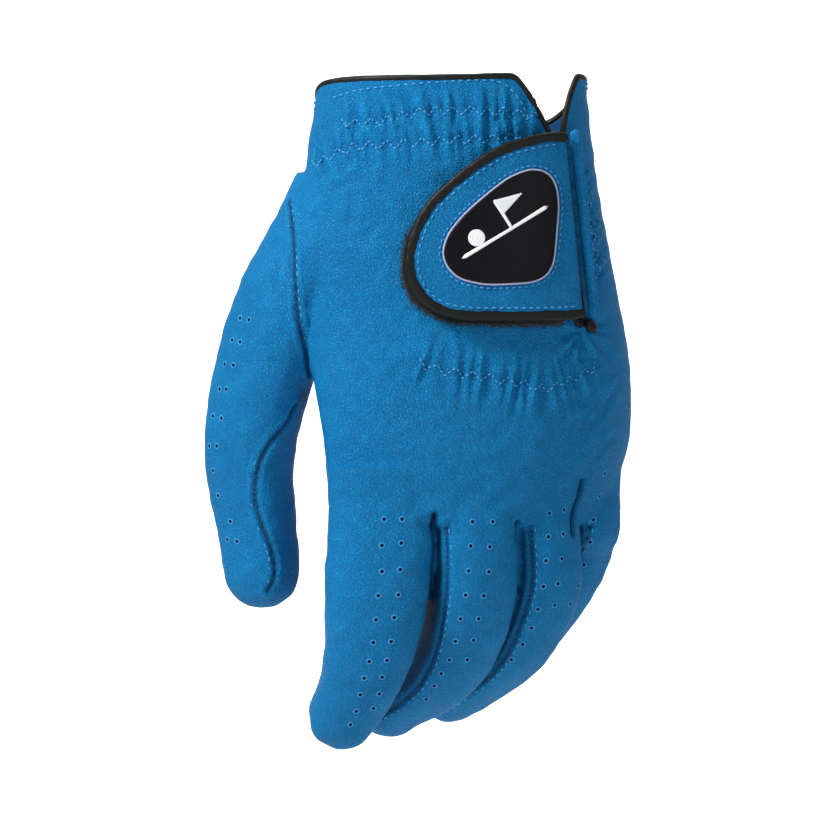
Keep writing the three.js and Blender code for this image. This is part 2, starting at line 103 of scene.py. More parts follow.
def handRow(z):
    rows = np.array(handForm["rows"], float)
    zs = rows[::-1, 0]
    z = np.clip(z, zs[0], zs[-1])
    out = []
    for column in range(1, 7):
        values = rows[::-1, column]
        slope = np.gradient(values, zs)
        k = np.clip(np.searchsorted(zs, z, side="right") - 1, 0, len(zs) - 2)
        h = zs[k + 1] - zs[k]
        t = (z - zs[k]) / h
        out.append(values[k] * (2 * t**3 - 3 * t**2 + 1) + slope[k] * h * (t**3 - 2 * t**2 + t)
                   + values[k + 1] * (3 * t**2 - 2 * t**3) + slope[k + 1] * h * (t**3 - t**2))
    return out


def middleLine(z, share):
    left, y, width, depth, turnLeft, turnRight = handRow(np.asarray(z, float))
    share = np.asarray(share, float)
    x = left + 0 * share
    y = y + 0 * share
    steps = 24
    for i in range(steps):
        turn = np.radians(turnLeft + (turnRight - turnLeft)
                          * np.maximum((i + 0.5) / steps * share, 0) ** handForm["turnPower"])
        x = x + np.cos(turn) * width * share / steps
        y = y + np.sin(turn) * width * share / steps
    turn = np.radians(turnLeft + (turnRight - turnLeft) * np.maximum(share, 0) ** handForm["turnPower"])
    return x, y, turn, depth, width


def handPoint(z, angle, rise=0.0):
    z, angle = np.broadcast_arrays(np.asarray(z, float), np.asarray(angle, float))
    across, through = superRound(np.radians(angle), handForm["roundness"])
    width = handRow(z)[2]
    share = 0.5 + 0.5 * across * (width / 2 + rise) / (width / 2)
    x, y, turn, depth, _ = middleLine(z, share)
    off = through * (depth + rise)
    return np.stack([x - np.sin(turn) * off, y + np.cos(turn) * off, z + 0 * x], -1)


def hemHeight(angle):
    across, through = superRound(np.radians(angle), handForm["roundness"])
    return -5.5 - 12.5 * np.tanh(2 * through) + 1.5 * across


def runOf(line, power=1):
    # how far along a line each of its points is
    return np.concatenate([[0], np.cumsum(np.linalg.norm(np.diff(line, axis=0), axis=1) ** power)])


def smoothPath(points, count=160):
    # a centripetal curve through the points, evened out along its length
    p = np.array(points, float)
    p = np.vstack([2 * p[0] - p[1], p, 2 * p[-1] - p[-2]])
    knots = runOf(p, 0.5)
    out = []
    for i in range(1, len(p) - 2):
        t = np.linspace(knots[i], knots[i + 1], 24, endpoint=False)[:, None]
        k0, k1, k2, k3 = knots[i - 1:i + 3]
        a1 = (k1 - t) / (k1 - k0) * p[i - 1] + (t - k0) / (k1 - k0) * p[i]
        a2 = (k2 - t) / (k2 - k1) * p[i] + (t - k1) / (k2 - k1) * p[i + 1]
        a3 = (k3 - t) / (k3 - k2) * p[i + 1] + (t - k2) / (k3 - k2) * p[i + 2]
        b1 = (k2 - t) / (k2 - k0) * a1 + (t - k0) / (k2 - k0) * a2
        b2 = (k3 - t) / (k3 - k1) * a2 + (t - k1) / (k3 - k1) * a3
        out.append((k2 - t) / (k2 - k1) * b1 + (t - k1) / (k2 - k1) * b2)
    out = np.vstack(out + [p[-2:-1]])
    return evenly(out, count)


def evenly(line, count):
    line = np.asarray(line, float)
    run = runOf(line)
    at = np.linspace(0, run[-1], count)
    return np.stack([np.interp(at, run, line[:, i]) for i in range(line.shape[1])], -1)


def stallForm(name):
    if name == "thumb":
        line = smoothPath(thumbForm["way"])
        turns = (thumbForm["turn"], thumbForm["turn"])
        wide, thick = thumbForm["wide"], thumbForm["thick"]
    else:
        s = stalls[name]
        x, y, turn, _, _ = middleLine(knuckleLevel, s["place"] / knuckleWidth)
        base = np.array([float(x), float(y), knuckleLevel])
        way = [base + (0, -0.5, 14), base, base + (0, 0, -8)] + [base + np.array(w) for w in s["way"]]
        line = smoothPath(way)
        turns = (math.degrees(float(turn)), s["turnTip"])
        wide, thick = s["wide"], s["thick"]
    length = np.linalg.norm(np.diff(line, axis=0), axis=1).sum()
    return dict(line=line, turns=turns, wide=wide, thick=thick, length=length)


forms = {name: stallForm(name) for name in ["index", "middle", "ring", "little", "thumb"]}


def stallPoint(form, t, angle, rise=0.0):
    t, angle = np.broadcast_arrays(np.asarray(t, float), np.asarray(angle, float))
    line = form["line"]
    at = np.clip(t, 0, 1) * (len(line) - 1)
    pick = lambda rows: np.stack([np.interp(at, np.arange(len(line)), rows[:, i]) for i in range(3)], -1)
    centre = pick(line)
    tangent = unit(pick(np.gradient(line, axis=0)))
    turn = np.radians(form["turns"][0] + (form["turns"][1] - form["turns"][0]) * t)
    across = np.stack([np.cos(turn), np.sin(turn), 0 * turn], -1)
    across = unit(across - (across * tangent).sum(-1, keepdims=True) * tangent)
    through = np.cross(across, tangent)
    ease = np.clip((t - 0.35) / 0.7, 0, 1)
    ease = ease * ease * (3 - 2 * ease)
    wide = form["wide"][0] + (form["wide"][1] - form["wide"][0]) * ease
    thick = form["thick"][0] + (form["thick"][1] - form["thick"][0]) * ease
    tipReach = form["wide"][1] + rise
    end = np.clip((t * form["length"] - (form["length"] - form["wide"][1])) / tipReach, 0, 1)
    dome = np.sqrt(np.maximum(0, 1 - end * end))
    a, b = superRound(np.radians(angle), stallRoundness)
    return (centre + across * (a * (wide + rise) * dome)[..., None]
            + through * (b * (thick + rise) * dome)[..., None])


def softened(loop, times):
    for _ in range(times):
        loop = 0.25 * np.roll(loop, 1, 0) + 0.5 * loop + 0.25 * np.roll(loop, -1, 0)
    return loop


def gridPiece(bm, rows, columns, place):
    # a bmesh grid laid onto a surface; place takes row and column shares from 0 to 1
    made = bmesh.ops.create_grid(bm, x_segments=rows, y_segments=columns, size=0.5)["verts"]
    share = np.array([v.co for v in made])[:, :2] + 0.5
    where = place(share[:, 0], share[:, 1])
    for v, p in zip(made, where):
        v.co = Vector(p) * mm


def linked(name, data):
    made = bpy.data.objects.new(name, data)
    bpy.context.scene.collection.objects.link(made)
    return made


def finish(bm, name, weld=1e-6):
    bmesh.ops.remove_doubles(bm, verts=bm.verts, dist=weld)
    bmesh.ops.dissolve_degenerate(bm, edges=bm.edges, dist=1e-7)
    bmesh.ops.recalc_face_normals(bm, faces=bm.faces)
    mesh = bpy.data.meshes.new(name)
    bm.to_mesh(mesh)
    bm.free()
    for face in mesh.polygons:
        face.use_smooth = True
    return linked(name, mesh)


def applied(piece):
    bpy.context.view_layer.update()
    mesh = bpy.data.meshes.new_from_object(piece.evaluated_get(bpy.context.evaluated_depsgraph_get()))
    old = piece.data
    piece.modifiers.clear()
    piece.data = mesh
    bpy.data.meshes.remove(old)
    return piece


def discard(*pieces):
    for piece in pieces:
        bpy.data.objects.remove(piece, do_unlink=True)


def readAll(items, key, kind=np.float32):
    out = np.empty(len(items) * (3 if kind == np.float32 else 1), kind)
    items.foreach_get(key, out)
    return out.reshape(-1, 3).astype(float) if kind == np.float32 else out


def coordinates(mesh):
    return readAll(mesh.vertices, "co") / mm


def setCoordinates(mesh, co):
    mesh.vertices.foreach_set("co", (co * mm).astype(np.float32).ravel())
    mesh.update()


def vertexNormals(mesh):
    return readAll(mesh.vertex_normals, "vector")


# the leather envelope: the hand and the stalls joined into one skin
print("envelope: forms")


def handBody(u, v):
    # from above the hem to the knuckles, where the section draws in to a rounded end
    end = np.clip((u - 0.93) / 0.07, 0, 1)
    z = 20 + (-137 - 20) * np.minimum(u / 0.97, 1) - 2.5 * np.sin(end * math.pi / 2)
    rise = -9 * (1 - np.sqrt(np.maximum(0, 1 - end * end)))
    p = handPoint(z, v * 360 - 180, rise)
    for at in (u <= 1e-6, u >= 1 - 1e-6):
        if at.any():
            p[at] = p[at].mean(0)
    return p


envelopeParts = []
bm = bmesh.new()
gridPiece(bm, 90, 120, handBody)
envelopeParts.append(finish(bm, "handForm"))
for name, form in forms.items():
    bm = bmesh.new()

    def stallBody(u, v, form=form):
        t = 1 - (1 - u) ** 1.35
        p = stallPoint(form, t, v * 360)
        first = u <= 1e-6
        p[first] = p[first].mean(0)
        return p

    gridPiece(bm, 70, 64, stallBody)
    envelopeParts.append(finish(bm, name + "Form"))

bm = bmesh.new()
for part in envelopeParts:
    bm.from_mesh(part.data)
envelope = finish(bm, "envelope")
discard(*envelopeParts)
print("envelope: joining,", len(envelope.data.polygons), "faces")
remesh = envelope.modifiers.new("join", "REMESH")
remesh.mode = "VOXEL"
remesh.voxel_size = handForm["voxel"] * mm
smooth = envelope.modifiers.new("soften", "SMOOTH")
smooth.factor = 0.5
smooth.iterations = 8
applied(envelope)
print("envelope: joined,", len(envelope.data.polygons), "faces")

# seams, folds and gathers in the leather; lines are x and z as seen from the back
seams = {
    "lines": {
        "thumbSeam": [(-51.5, -36), (-50.9, -40), (-49.8, -52), (-49.3, -62), (-48.4, -73), (-46.4, -83),
                      (-45.6, -88), (-45.2, -91)],
        "thumbInnerSeam": [(-49.5, -101), (-52.2, -106.2), (-59, -115), (-61.8, -122.2), (-62.5, -131.8),
                           (-59.8, -141), (-56.9, -149), (-56.4, -155.5), (-58.5, -160.5)],
    },
    "slots": [[(-5.2, -136), (-5.4, -139), (-5.7, -143)],
              [(42.8, -125.5), (41.6, -130.2), (39.8, -136), (39.6, -142)],
              [(21.5, -138.8), (21.3, -143)]],
    "slotDepth": 2.4,
    "grooveDepth": 0.55,
    "grooveWidth": 0.65,
    "lipHeight": 0.35,
    "lipOffset": 1.9,
}
gathers = {
    "rows": {
        "upper": [(-34.9, -11.2), (-25, -11.3), (-8, -8), (4, -7.6), (15.4, -8), (27.8, -9.2)],
        "lower": [(-44, -24), (-36, -20.8), (-28.8, -18.9), (-15.7, -18.2), (0, -17), (15.4, -16.4),
                  (22, -15.4)],
        "back": [(-10.2, -87), (-4, -89.6), (1.3, -90.4), (9.9, -91.8), (23, -94.1), (31, -95.2),
                 (38.7, -92.6), (46.4, -88)],
        "side": [(41.6, -27.5), (43.6, -35), (44.8, -42.9), (46.2, -51), (47.6, -60)],
    },
    "reach": {"upper": 5.5, "lower": 5, "back": 7, "side": 5},
    "depth": {"upper": 0.75, "lower": 0.6, "back": 0.55, "side": 0.7},
    "pitch": {"upper": 4.6, "lower": 4.2, "back": 5, "side": 5},
}
creases = {
    # centre x and z, spread, direction in degrees, length, how many, depth
    "thumbWeb": (-33, -78, 14, -55, 22, 9, 0.3),
    "thumbRoot": (-58, -62, 9, -68, 16, 5, 0.3),
    "knuckles": (4, -117, 24, 8, 13, 12, 0.22),
    "backLeft": (-30, -40, 13, 70, 20, 7, 0.26),
    "outer": (46, -104, 9, 62, 20, 8, 0.32),
    "cuffLeft": (-33, -30, 9, 14, 15, 6, 0.3),
    "underTab": (10, -83, 16, -82, 10, 9, 0.25),
    "slitFoot": (44, -86, 6, -52, 14, 7, 0.5),
}


def bvhOf(piece):
    mesh = piece.data
    return BVHTree.FromPolygons([v.co for v in mesh.vertices], [p.vertices for p in mesh.polygons])


def onSkin(tree, x, z):
    # the leather's outside as met from the back of the hand
    hit = tree.ray_cast(Vector((x, -150, z)) * mm, Vector((0, 1, 0)))
    if hit[0] is None:
        near = tree.find_nearest(Vector((x, -20, z)) * mm)
        return np.array(near[0]) / mm, np.array(near[1])
    return np.array(hit[0]) / mm, np.array(hit[1])


def lineOnSkin(tree, points, step=1.0):
    flat = np.array(points, float)
    flat = smoothPath(flat, max(8, int(np.linalg.norm(np.diff(flat, axis=0), axis=1).sum() / step)))
    hits = [onSkin(tree, x, z) for x, z in flat]
    return np.array([h[0] for h in hits]), np.array([h[1] for h in hits])


def stallLine(name, angle, first, last):
    return stallPoint(forms[name], np.linspace(first, last, 70), angle)


def nearestOn(co, line, reach):
    # distance of every vertex to a line, and how far along it, within reach
    low, high = line.min(0) - reach, line.max(0) + reach
    inside = np.flatnonzero(np.all((co > low) & (co < high), axis=1))
    away = np.full(len(co), 1e3)
    along = np.zeros(len(co))
    run = runOf(line)
    for chunk in np.array_split(inside, max(1, len(inside) // 4000)):
        if len(chunk) == 0:
            continue
        d = np.linalg.norm(co[chunk][:, None] - line[None], axis=2)
        k = d.argmin(1)
        away[chunk] = d[np.arange(len(chunk)), k]
        along[chunk] = run[k]
    return away, along


def bump(d, width):
    return np.exp(-(d / width) ** 2)


fourchetteLines = {}
for name, first in (("middle", 0.1), ("ring", 0.1), ("little", 0.06)):
    fourchetteLines[name + "Edge"] = stallLine(name, 213, first, 0.93)
for name in ("index", "middle", "ring", "little"):
    fourchetteLines[name + "Palm"] = stallLine(name, 34, 0.1, 0.94)
    fourchetteLines[name + "PalmEdge"] = stallLine(name, 146, 0.1, 0.94)

skinTree = bvhOf(envelope)
seamLines = {name: lineOnSkin(skinTree, line)[0] for name, line in seams["lines"].items()}
seamLines.update(fourchetteLines)
gatherLines = {name: lineOnSkin(skinTree, line)[0] for name, line in gathers["rows"].items()}

print("envelope: folds and gathers")
co = coordinates(envelope.data)
normals = vertexNormals(envelope.data)
rise = np.zeros(len(co))
for x, y, z in [(0.043, 0.31, 0.9), (0.11, 0.12, 0.5), (0.021, 0.015, 0.8)]:
    rise += 0.2 * z * np.sin(co[:, 0] * x * 6 + 2.1 * np.sin(co[:, 2] * y) + z * 9) * np.sin(
        co[:, 2] * x * 5 + 1.7 * np.sin(co[:, 0] * y * 0.7) + co[:, 1] * 0.08)
for name, line in seamLines.items():
    away, along = nearestOn(co, line, 6)
    strength = 1.0 if name in seams["lines"] or name.endswith("Edge") else 0.7
    groove = strength * seams["grooveDepth"] * (0.5 if name.endswith("Edge") else 1)
    rise -= groove * bump(away, seams["grooveWidth"])
    rise += strength * seams["lipHeight"] * bump(away - seams["lipOffset"], 0.9)
    rise += 0.1 * strength * np.sin(along * 2 * math.pi / 3.4) * bump(away - 1.2, 1.2)
for name, line in gatherLines.items():
    reach, pitch = gathers["reach"][name], gathers["pitch"][name]
    away, along = nearestOn(co, line, reach * 2.6)
    wave = np.sin(along * 2 * math.pi / pitch + 1.4 * np.sin(along * 0.37)
                  + 0.25 * co[:, 1] + 0.12 * co[:, 2])
    wave += 0.5 * np.sin(along * 2 * math.pi / (pitch * 1.9) + 1.1)
    fade = bump(away, reach * 1.15)
    rise += gathers["depth"][name] * wave * fade - 0.45 * bump(away, 1.5)
for x, z, spread, turn, size, count, depth in creases.values():
    for _ in range(count):
        middle = np.array([x + random.gauss(0, spread * 0.6), z + random.gauss(0, spread * 0.6)])
        angle = math.radians(turn + random.gauss(0, 14))
        half = size * random.uniform(0.3, 0.6)
        way = np.array([math.cos(angle), math.sin(angle)]) * half
        bow = np.array([-way[1], way[0]]) * random.uniform(-0.2, 0.2)
        line, _ = lineOnSkin(skinTree, [middle - way, middle + bow, middle + way], step=1.2)
        away, along = nearestOn(co, line, 4)
        fade = np.sin(np.clip(along / (2 * half), 0, 1) * math.pi)
        width = random.uniform(0.9, 1.8)
        fold = bump(away, width) - 0.5 * bump(away - 2 * width, width)
        rise -= depth * random.uniform(0.5, 1.2) * fade * fold
slotLines = [lineOnSkin(skinTree, line, step=0.5)[0] for line in seams["slots"]]
for line in slotLines:
    away, _ = nearestOn(co, line, 5)
    rise -= seams["slotDepth"] * bump(away, 0.9)
# folds that run out from the foot of the slit, and across the stalls where they bend
slitFoot = onSkin(skinTree, 42.5, -77)[0]
toFoot = co - slitFoot
away = np.linalg.norm(toFoot, axis=1)
turn = np.arctan2(toFoot[:, 2], toFoot[:, 0])
fan = 0.6 * np.sin(turn * 9 + 1.5 * np.sin(turn * 3)) * bump(away - 7, 7)
rise += fan * (normals[:, 1] < 0.2) * (away > 1)
fingers = ["index", "middle", "ring", "little"]
for name in fingers:
    for at, depth in ((0.47, 0.4), (0.52, 0.35), (0.73, 0.28)):
        ring = stallPoint(forms[name], at, np.linspace(40, 140, 40))
        away, _ = nearestOn(co, ring, 6)
        rise -= depth * bump(away, 1.3)
setCoordinates(envelope.data, co + normals * rise[:, None])
# dark joins along the seams, with painted shade added in the finger slots and narrow gaps
seamShade = np.zeros(len(co))
for name, line in seamLines.items():
    away, _ = nearestOn(co, line, 5)
    dark = 1.0 if "thumb" in name or name.endswith("Edge") else 0.6
    seamShade = np.maximum(seamShade, bump(away, 0.75) * dark)
# painted shade: the slots between the fingers are darkened where shade falls in them
for line in slotLines:
    away, _ = nearestOn(co, line, 5)
    seamShade = np.maximum(seamShade, 1.3 * bump(away, 0.9))
# painted shade: leather that faces its neighbour across a narrow gap is darkened by a baked shadow
gapShade = np.zeros(len(co))
folded = bvhOf(envelope)
moved = coordinates(envelope.data)
facing = vertexNormals(envelope.data)
narrow, palmLevel = 9, -96
sideways = np.abs(facing[:, 0]) + np.abs(facing[:, 2]) * 0.5 > 0.3
for k in np.flatnonzero((co[:, 2] < palmLevel) & sideways):
    hit = folded.ray_cast(Vector(moved[k] + facing[k] * 0.4) * mm, Vector(facing[k]), narrow * mm)
    if hit[0] is not None:
        gapShade[k] = 1 - hit[3] / mm / narrow
edges = np.array([e.vertices for e in envelope.data.edges])
for _ in range(8):
    total, count = np.zeros(len(co)), np.zeros(len(co))
    for a, b in ((0, 1), (1, 0)):
        np.add.at(total, edges[:, a], gapShade[edges[:, b]])
        np.add.at(count, edges[:, a], 1)
    gapShade = 0.5 * gapShade + 0.5 * total / np.maximum(count, 1)
# the painted gap shade is added to the darkening along the seams
seamShade = np.maximum(seamShade, 1.25 * np.clip(gapShade, 0, 0.8))
ridge = np.clip(rise * 1.1, 0, 1)
# one attribute carries both the dark joins along the seams and the painted shade
for name, values in (("seam", seamShade), ("ridge", ridge)):
    envelope.data.attributes.new(name, "FLOAT", "POINT").data.foreach_set("value", values.astype(np.float32))

# the cuff's edge and its slit
cuff = {
    "mouthLeft": [(8, 16), (13.2, 6.4), (17.4, 4.9), (20.8, 2.7), (23.8, -1), (26.6, -5.6), (29.2, -10.2),
                  (31.6, -14.9)],
    "slitLeft": [(32.5, -17), (35.4, -44), (39.8, -72), (40.4, -75.5)],
    "slitRight": [(42.6, -75), (42.8, -72), (38.2, -44), (35.9, -15), (36.9, -8), (38.6, -1.5), (42.6, 9),
                  (44.5, 16)],
}


def sweep(bm, faces, way):
    made = bmesh.ops.extrude_face_region(bm, geom=faces)["geom"]
    corners = [g for g in made if isinstance(g, bmesh.types.BMVert)]
    bmesh.ops.translate(bm, verts=corners, vec=tuple(v * mm for v in way))


bm = bmesh.new()


def hemFan(u, v):
    angle = v * 360 - 180
    edge = handPoint(hemHeight(angle), angle, 9)
    centre = np.array([1.0, 9.0, -6.0])
    return centre + (edge - centre) * u[:, None]


gridPiece(bm, 14, 144, hemFan)
bmesh.ops.remove_doubles(bm, verts=bm.verts, dist=1e-6)
sweep(bm, bm.faces[:], (0, 0, 70))
cutter = finish(bm, "cutter")
bm = bmesh.new()
outline = cuff["mouthLeft"] + cuff["slitLeft"] + cuff["slitRight"]
face = bm.faces.new([bm.verts.new(Vector((x, -60, z)) * mm) for x, z in outline])
sweep(bm, [face], (0, 78, 0))
slitCutter = finish(bm, "slitCutter")
envelope.data.materials.append(bpy.data.materials.new("leatherOutside"))
cutMaterial = bpy.data.materials.new("cut")
for tool in (cutter, slitCutter):
    tool.data.materials.append(cutMaterial)
    cut = envelope.modifiers.new("cut", "BOOLEAN")
    cut.operation = "DIFFERENCE"
    cut.solver = "EXACT"
    cut.material_mode = "TRANSFER"
    cut.object = tool
applied(envelope)
discard(cutter, slitCutter)
print("cuff: cut,", len(envelope.data.polygons), "faces")
bm = bmesh.new()
bm.from_mesh(envelope.data)
slots = [m.name for m in envelope.data.materials]
cutFaces = [f for f in bm.faces if slots[f.material_index].startswith("cut")]
bmesh.ops.delete(bm, geom=cutFaces, context="FACES")
rimEdges = [e for e in bm.edges if e.is_boundary]
# the rim's loop in order, longest first
loops = []
left = set(rimEdges)
for edge in rimEdges:
    if edge not in left:
        continue
    left.discard(edge)
    loop = [edge.verts[0], edge.verts[1]]
    growing = True
    while growing:
        growing = False
        for e in loop[-1].link_edges:
            if e in left:
                left.discard(e)
                loop.append(e.other_vert(loop[-1]))
                growing = True
                break
    loops.append([np.array(v.co) / mm for v in loop])
loops.sort(key=len, reverse=True)
print("cuff: rim loops", [len(l) for l in loops][:5])
rim = softened(evenly(np.array(loops[0]), 620)[:-1], 6)
rim = np.vstack([rim, rim[:1]])
bm.to_mesh(envelope.data)
bm.free()

# the envelope cut into pieces: the hand, and a root and a tip for each stall
splits = {
    "knuckleTop": -133.5,
    "tipHalf": {"index": 8, "middle": 8, "ring": 8, "little": 6.5},
    "bendShare": {"thumb": 0.56},
    "thumbRoot": ((-44.5, 15, -95), (-51.1, 16.8, -96.65)),
    "thumbTip": (2.5, 11),
}
order = ["hand"] + [name + part for name in fingers + ["thumb"] for part in ("Root", "Tip")]


def stallStation(form, co):
    # the share along a stall's middle line, and the distance from it relative to the stall's own size
    line = form["line"][::2]
    d = np.full(len(co), 1e9)
    t = np.zeros(len(co))
    for chunk in np.array_split(np.arange(len(co)), max(1, len(co) // 8000)):
        away = np.linalg.norm(co[chunk][:, None] - line[None], axis=2)
        k = away.argmin(1)
        d[chunk] = away[np.arange(len(chunk)), k]
        t[chunk] = k / (len(line) - 1)
    size = form["wide"][0] + (form["wide"][1] - form["wide"][0]) * np.clip(t, 0, 1)
    return t, d / size


def labels(co):
    stations = {name: stallStation(form, co) for name, form in forms.items()}
    near = np.stack([stations[name][1] for name in fingers])
    owner = near.argmin(0)
    out = np.zeros(len(co), int)
    for i, name in enumerate(fingers):
        mine = (owner == i) & (co[:, 2] < splits["knuckleTop"])
        out[mine] = 1 + 2 * i
        bend = bendOf(name)
        beyond = ((co - bend[0]) @ bend[1]) > -splits["tipHalf"][name]
        out[mine & beyond] = 2 + 2 * i
    t = stations["thumb"][0]
    start, end = np.array(splits["thumbRoot"])
    way = unit(end - start)
    leftOf = np.where(co[:, 2] > -99, -38, -44.5)
    out[(((co - start) @ way) > 0) & (co[:, 0] < leftOf) & (t > 0.05)] = 9
    bend = bendOf("thumb")
    out[(out == 9) & (((co - bend[0]) @ bend[1]) > -splits["thumbTip"][0])] = 10
    return out


def bendOf(name):
    form = forms[name]
    k = int(splits["bendShare"].get(name, 0.5) * (len(form["line"]) - 1))
    line = form["line"]
    return line[k], unit(line[k + 1] - line[k - 1])


envelope.data.materials.clear()
envelope.data.materials.append(bpy.data.materials.new("leather"))
envelope.data.materials.append(bpy.data.materials.new("suede"))
envelope.data.polygons.foreach_set("material_index", [0] * len(envelope.data.polygons))
wall = envelope.modifiers.new("wall", "SOLIDIFY")
wall.thickness = handForm["wall"] * mm
wall.offset = -1
wall.material_offset = 1
wall.material_offset_rim = 0
skinTree = bvhOf(envelope)
applied(envelope)
print("pieces: sorting the leather")
envelopeMesh = envelope.data
envelopeMesh.update()
faceLabels = labels(readAll(envelopeMesh.polygons, "center") / mm)
smallIsland = 2500


def tidyLabels(mesh, found):
    # an island of faces that a label cut off goes to the label round it
    edgeFaces = {}
    for face in mesh.polygons:
        for key in face.edge_keys:
            edgeFaces.setdefault(key, []).append(face.index)
    beside = [[] for _ in mesh.polygons]
    for group in edgeFaces.values():
        for a in group:
            beside[a] += [b for b in group if b != a]
    seen = np.zeros(len(beside), bool)
    islands = []
    for first in range(len(beside)):
        if seen[first]:
            continue
        island, rim, queue = [], [], [first]
        seen[first] = True
        while queue:
            k = queue.pop()
            island.append(k)
            for b in beside[k]:
                if found[b] != found[first]:
                    rim.append(found[b])
                elif not seen[b]:
                    seen[b] = True
                    queue.append(b)
        islands.append((island, rim))
    for island, rim in islands:
        if len(island) < smallIsland and rim:
            found[island] = np.bincount(rim).argmax()
    return found


faceLabels = tidyLabels(envelopeMesh, faceLabels)
print("pieces:", {order[i]: int((faceLabels == i).sum()) for i in range(len(order))})

envelopeNormals = vertexNormals(envelopeMesh)
pieceNodes = {
    "hand": ["back_panel", "palm_panel"],
    "thumbRoot": ["thumb_back_root", "thumb_front_root"],
    "thumbTip": ["thumb_back_tip", "thumb_front_tip"],
}
sides = {"index": ["back", "palm", "outer_side"], "middle": ["back", "palm", "outer_side", "inner_side"],
         "ring": ["back", "palm", "outer_side", "inner_side"], "little": ["back", "palm", "inner_side"]}
for name in fingers:
    pieceNodes[name + "Root"] = ["%s_%s_base" % (name, side) for side in sides[name]]
    pieceNodes[name + "Tip"] = ["%s_%s_tip" % (name, side) for side in sides[name]]


def follow(piece, label):
    # parents a piece on the hand to the hand's body; a piece on a stall or the thumb only has its transform
    # baked into its mesh
    piece.parent = None
    name = order[label]
    if name == "hand":
        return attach(piece, "hand")
    finger, part = (name[:-4], "Root") if name.endswith("Root") else (name[:-3], "Tip")
    if part == "Root" and finger == "thumb":
        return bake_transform(piece)
    if part == "Root":
        top, bottom = blendEnds[finger]
        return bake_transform(piece, "hand", finger + "_base", start=(0, 0, top * mm), end=(0, 0, bottom * mm))
    centre, way = bendOf(finger)
    before, after = splits["thumbTip"] if finger == "thumb" else (splits["tipHalf"][finger],) * 2
    bodies = ("thumb_root", "thumb_tip") if finger == "thumb" else (finger + "_base", finger + "_tip")
    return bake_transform(piece, *bodies, start=tuple((centre - way * (before - 0.5)) * mm),
                    end=tuple((centre + way * after) * mm))


skinPieces = {}
for index, name in enumerate(order):
    bm = bmesh.new()
    bm.from_mesh(envelopeMesh)
    bm.faces.ensure_lookup_table()
    bm.verts.ensure_lookup_table()
    source = bm.verts.layers.int.new("source")
    for v in bm.verts:
        v[source] = v.index
    bmesh.ops.delete(bm, geom=[f for f in bm.faces if faceLabels[f.index] != index], context="FACES")
    mesh = bpy.data.meshes.new(name + "Leather")
    bm.to_mesh(mesh)
    bm.free()
    came = readAll(mesh.attributes["source"].data, "value", np.int32)
    mesh.attributes.remove(mesh.attributes["source"])
    mesh.normals_split_custom_set_from_vertices([tuple(n) for n in envelopeNormals[came]])
    skinPieces[name] = linked(name + "Leather", mesh)
discard(envelope)
print("pieces: leather split,", {n: len(p.data.polygons) for n, p in skinPieces.items()})


# tubes, plates and stitches
def frames(line, up, closed=False):
    if closed:
        tangent = unit(np.roll(line, -1, 0) - np.roll(line, 1, 0))
    else:
        tangent = unit(np.gradient(line, axis=0))
    up = unit(up - (up * tangent).sum(1, keepdims=True) * tangent)
    return tangent, up, np.cross(tangent, up)


def tube(bm, line, up, halfWide, halfHigh, sides=12, closed=False, power=2.0, lift=0.0):
    # a round or flattened tube along a line; an open one has rounded ends
    line = np.asarray(line, float)
    if closed:
        line = line[:-1] if np.allclose(line[0], line[-1]) else line
        up = up[:len(line)] if np.ndim(up) == 2 else up
    tangent, up, side = frames(line, np.broadcast_to(up, line.shape), closed)
    run = runOf(line)
    if closed:
        ends = np.ones(len(line))
    else:
        reach = max(halfWide if np.isscalar(halfWide) else halfWide.max(), 1e-6)
        to = np.minimum(run, run[-1] - run)
        ends = np.sqrt(np.clip(1 - (1 - np.clip(to / reach, 0, 1)) ** 2, 0, 1))
    wide = np.broadcast_to(halfWide, len(line)) * ends
    high = np.broadcast_to(halfHigh, len(line)) * ends
    rows = len(line) if closed else len(line) - 1

    def place(u, v):
        k = np.rint(u * rows).astype(int) % len(line)
        c, s = superRound(v * 2 * math.pi, power)
        return (line[k] + up[k] * (s * high[k] + lift)[:, None] + side[k] * (c * wide[k])[:, None])

    gridPiece(bm, rows, sides, place)


def backAt(x, z, rise):
    # the point over the back of the hand that shows at x and z, a distance above the leather's outside
    x, z, rise = np.broadcast_arrays(np.asarray(x, float), np.asarray(z, float), np.asarray(rise, float))
    low, high = np.full(x.shape, -176.0), np.full(x.shape, -12.0)
    for _ in range(22):
        middle = (low + high) / 2
        short = handPoint(z, middle, rise)[..., 0] < x
        low, high = np.where(short, middle, low), np.where(short, high, middle)
    return handPoint(z, (low + high) / 2, rise)


def overBack(flat, rise):
    # a line over the back of the hand from its x and z, and the direction away from the leather
    x, z = flat.T
    return backAt(x, z, rise), unit(backAt(x, z, 3.0) - backAt(x, z, 0.0))


def inwardOf(line, run, middle):
    inward = np.stack([-run[:, 1], run[:, 0]], -1)
    return -inward if ((line - middle) * inward).sum() > 0 else inward


def outlineOf(points, inset=0.0, count=200):
    # a closed outline, evened out, with its points moved inwards
    line = evenly(np.vstack([points, points[:1]]), count + 1)[:-1]
    line = softened(line, 10)
    run = unit(np.roll(line, -1, 0) - np.roll(line, 1, 0))
    return line + inwardOf(line, run, line.mean(0)) * inset


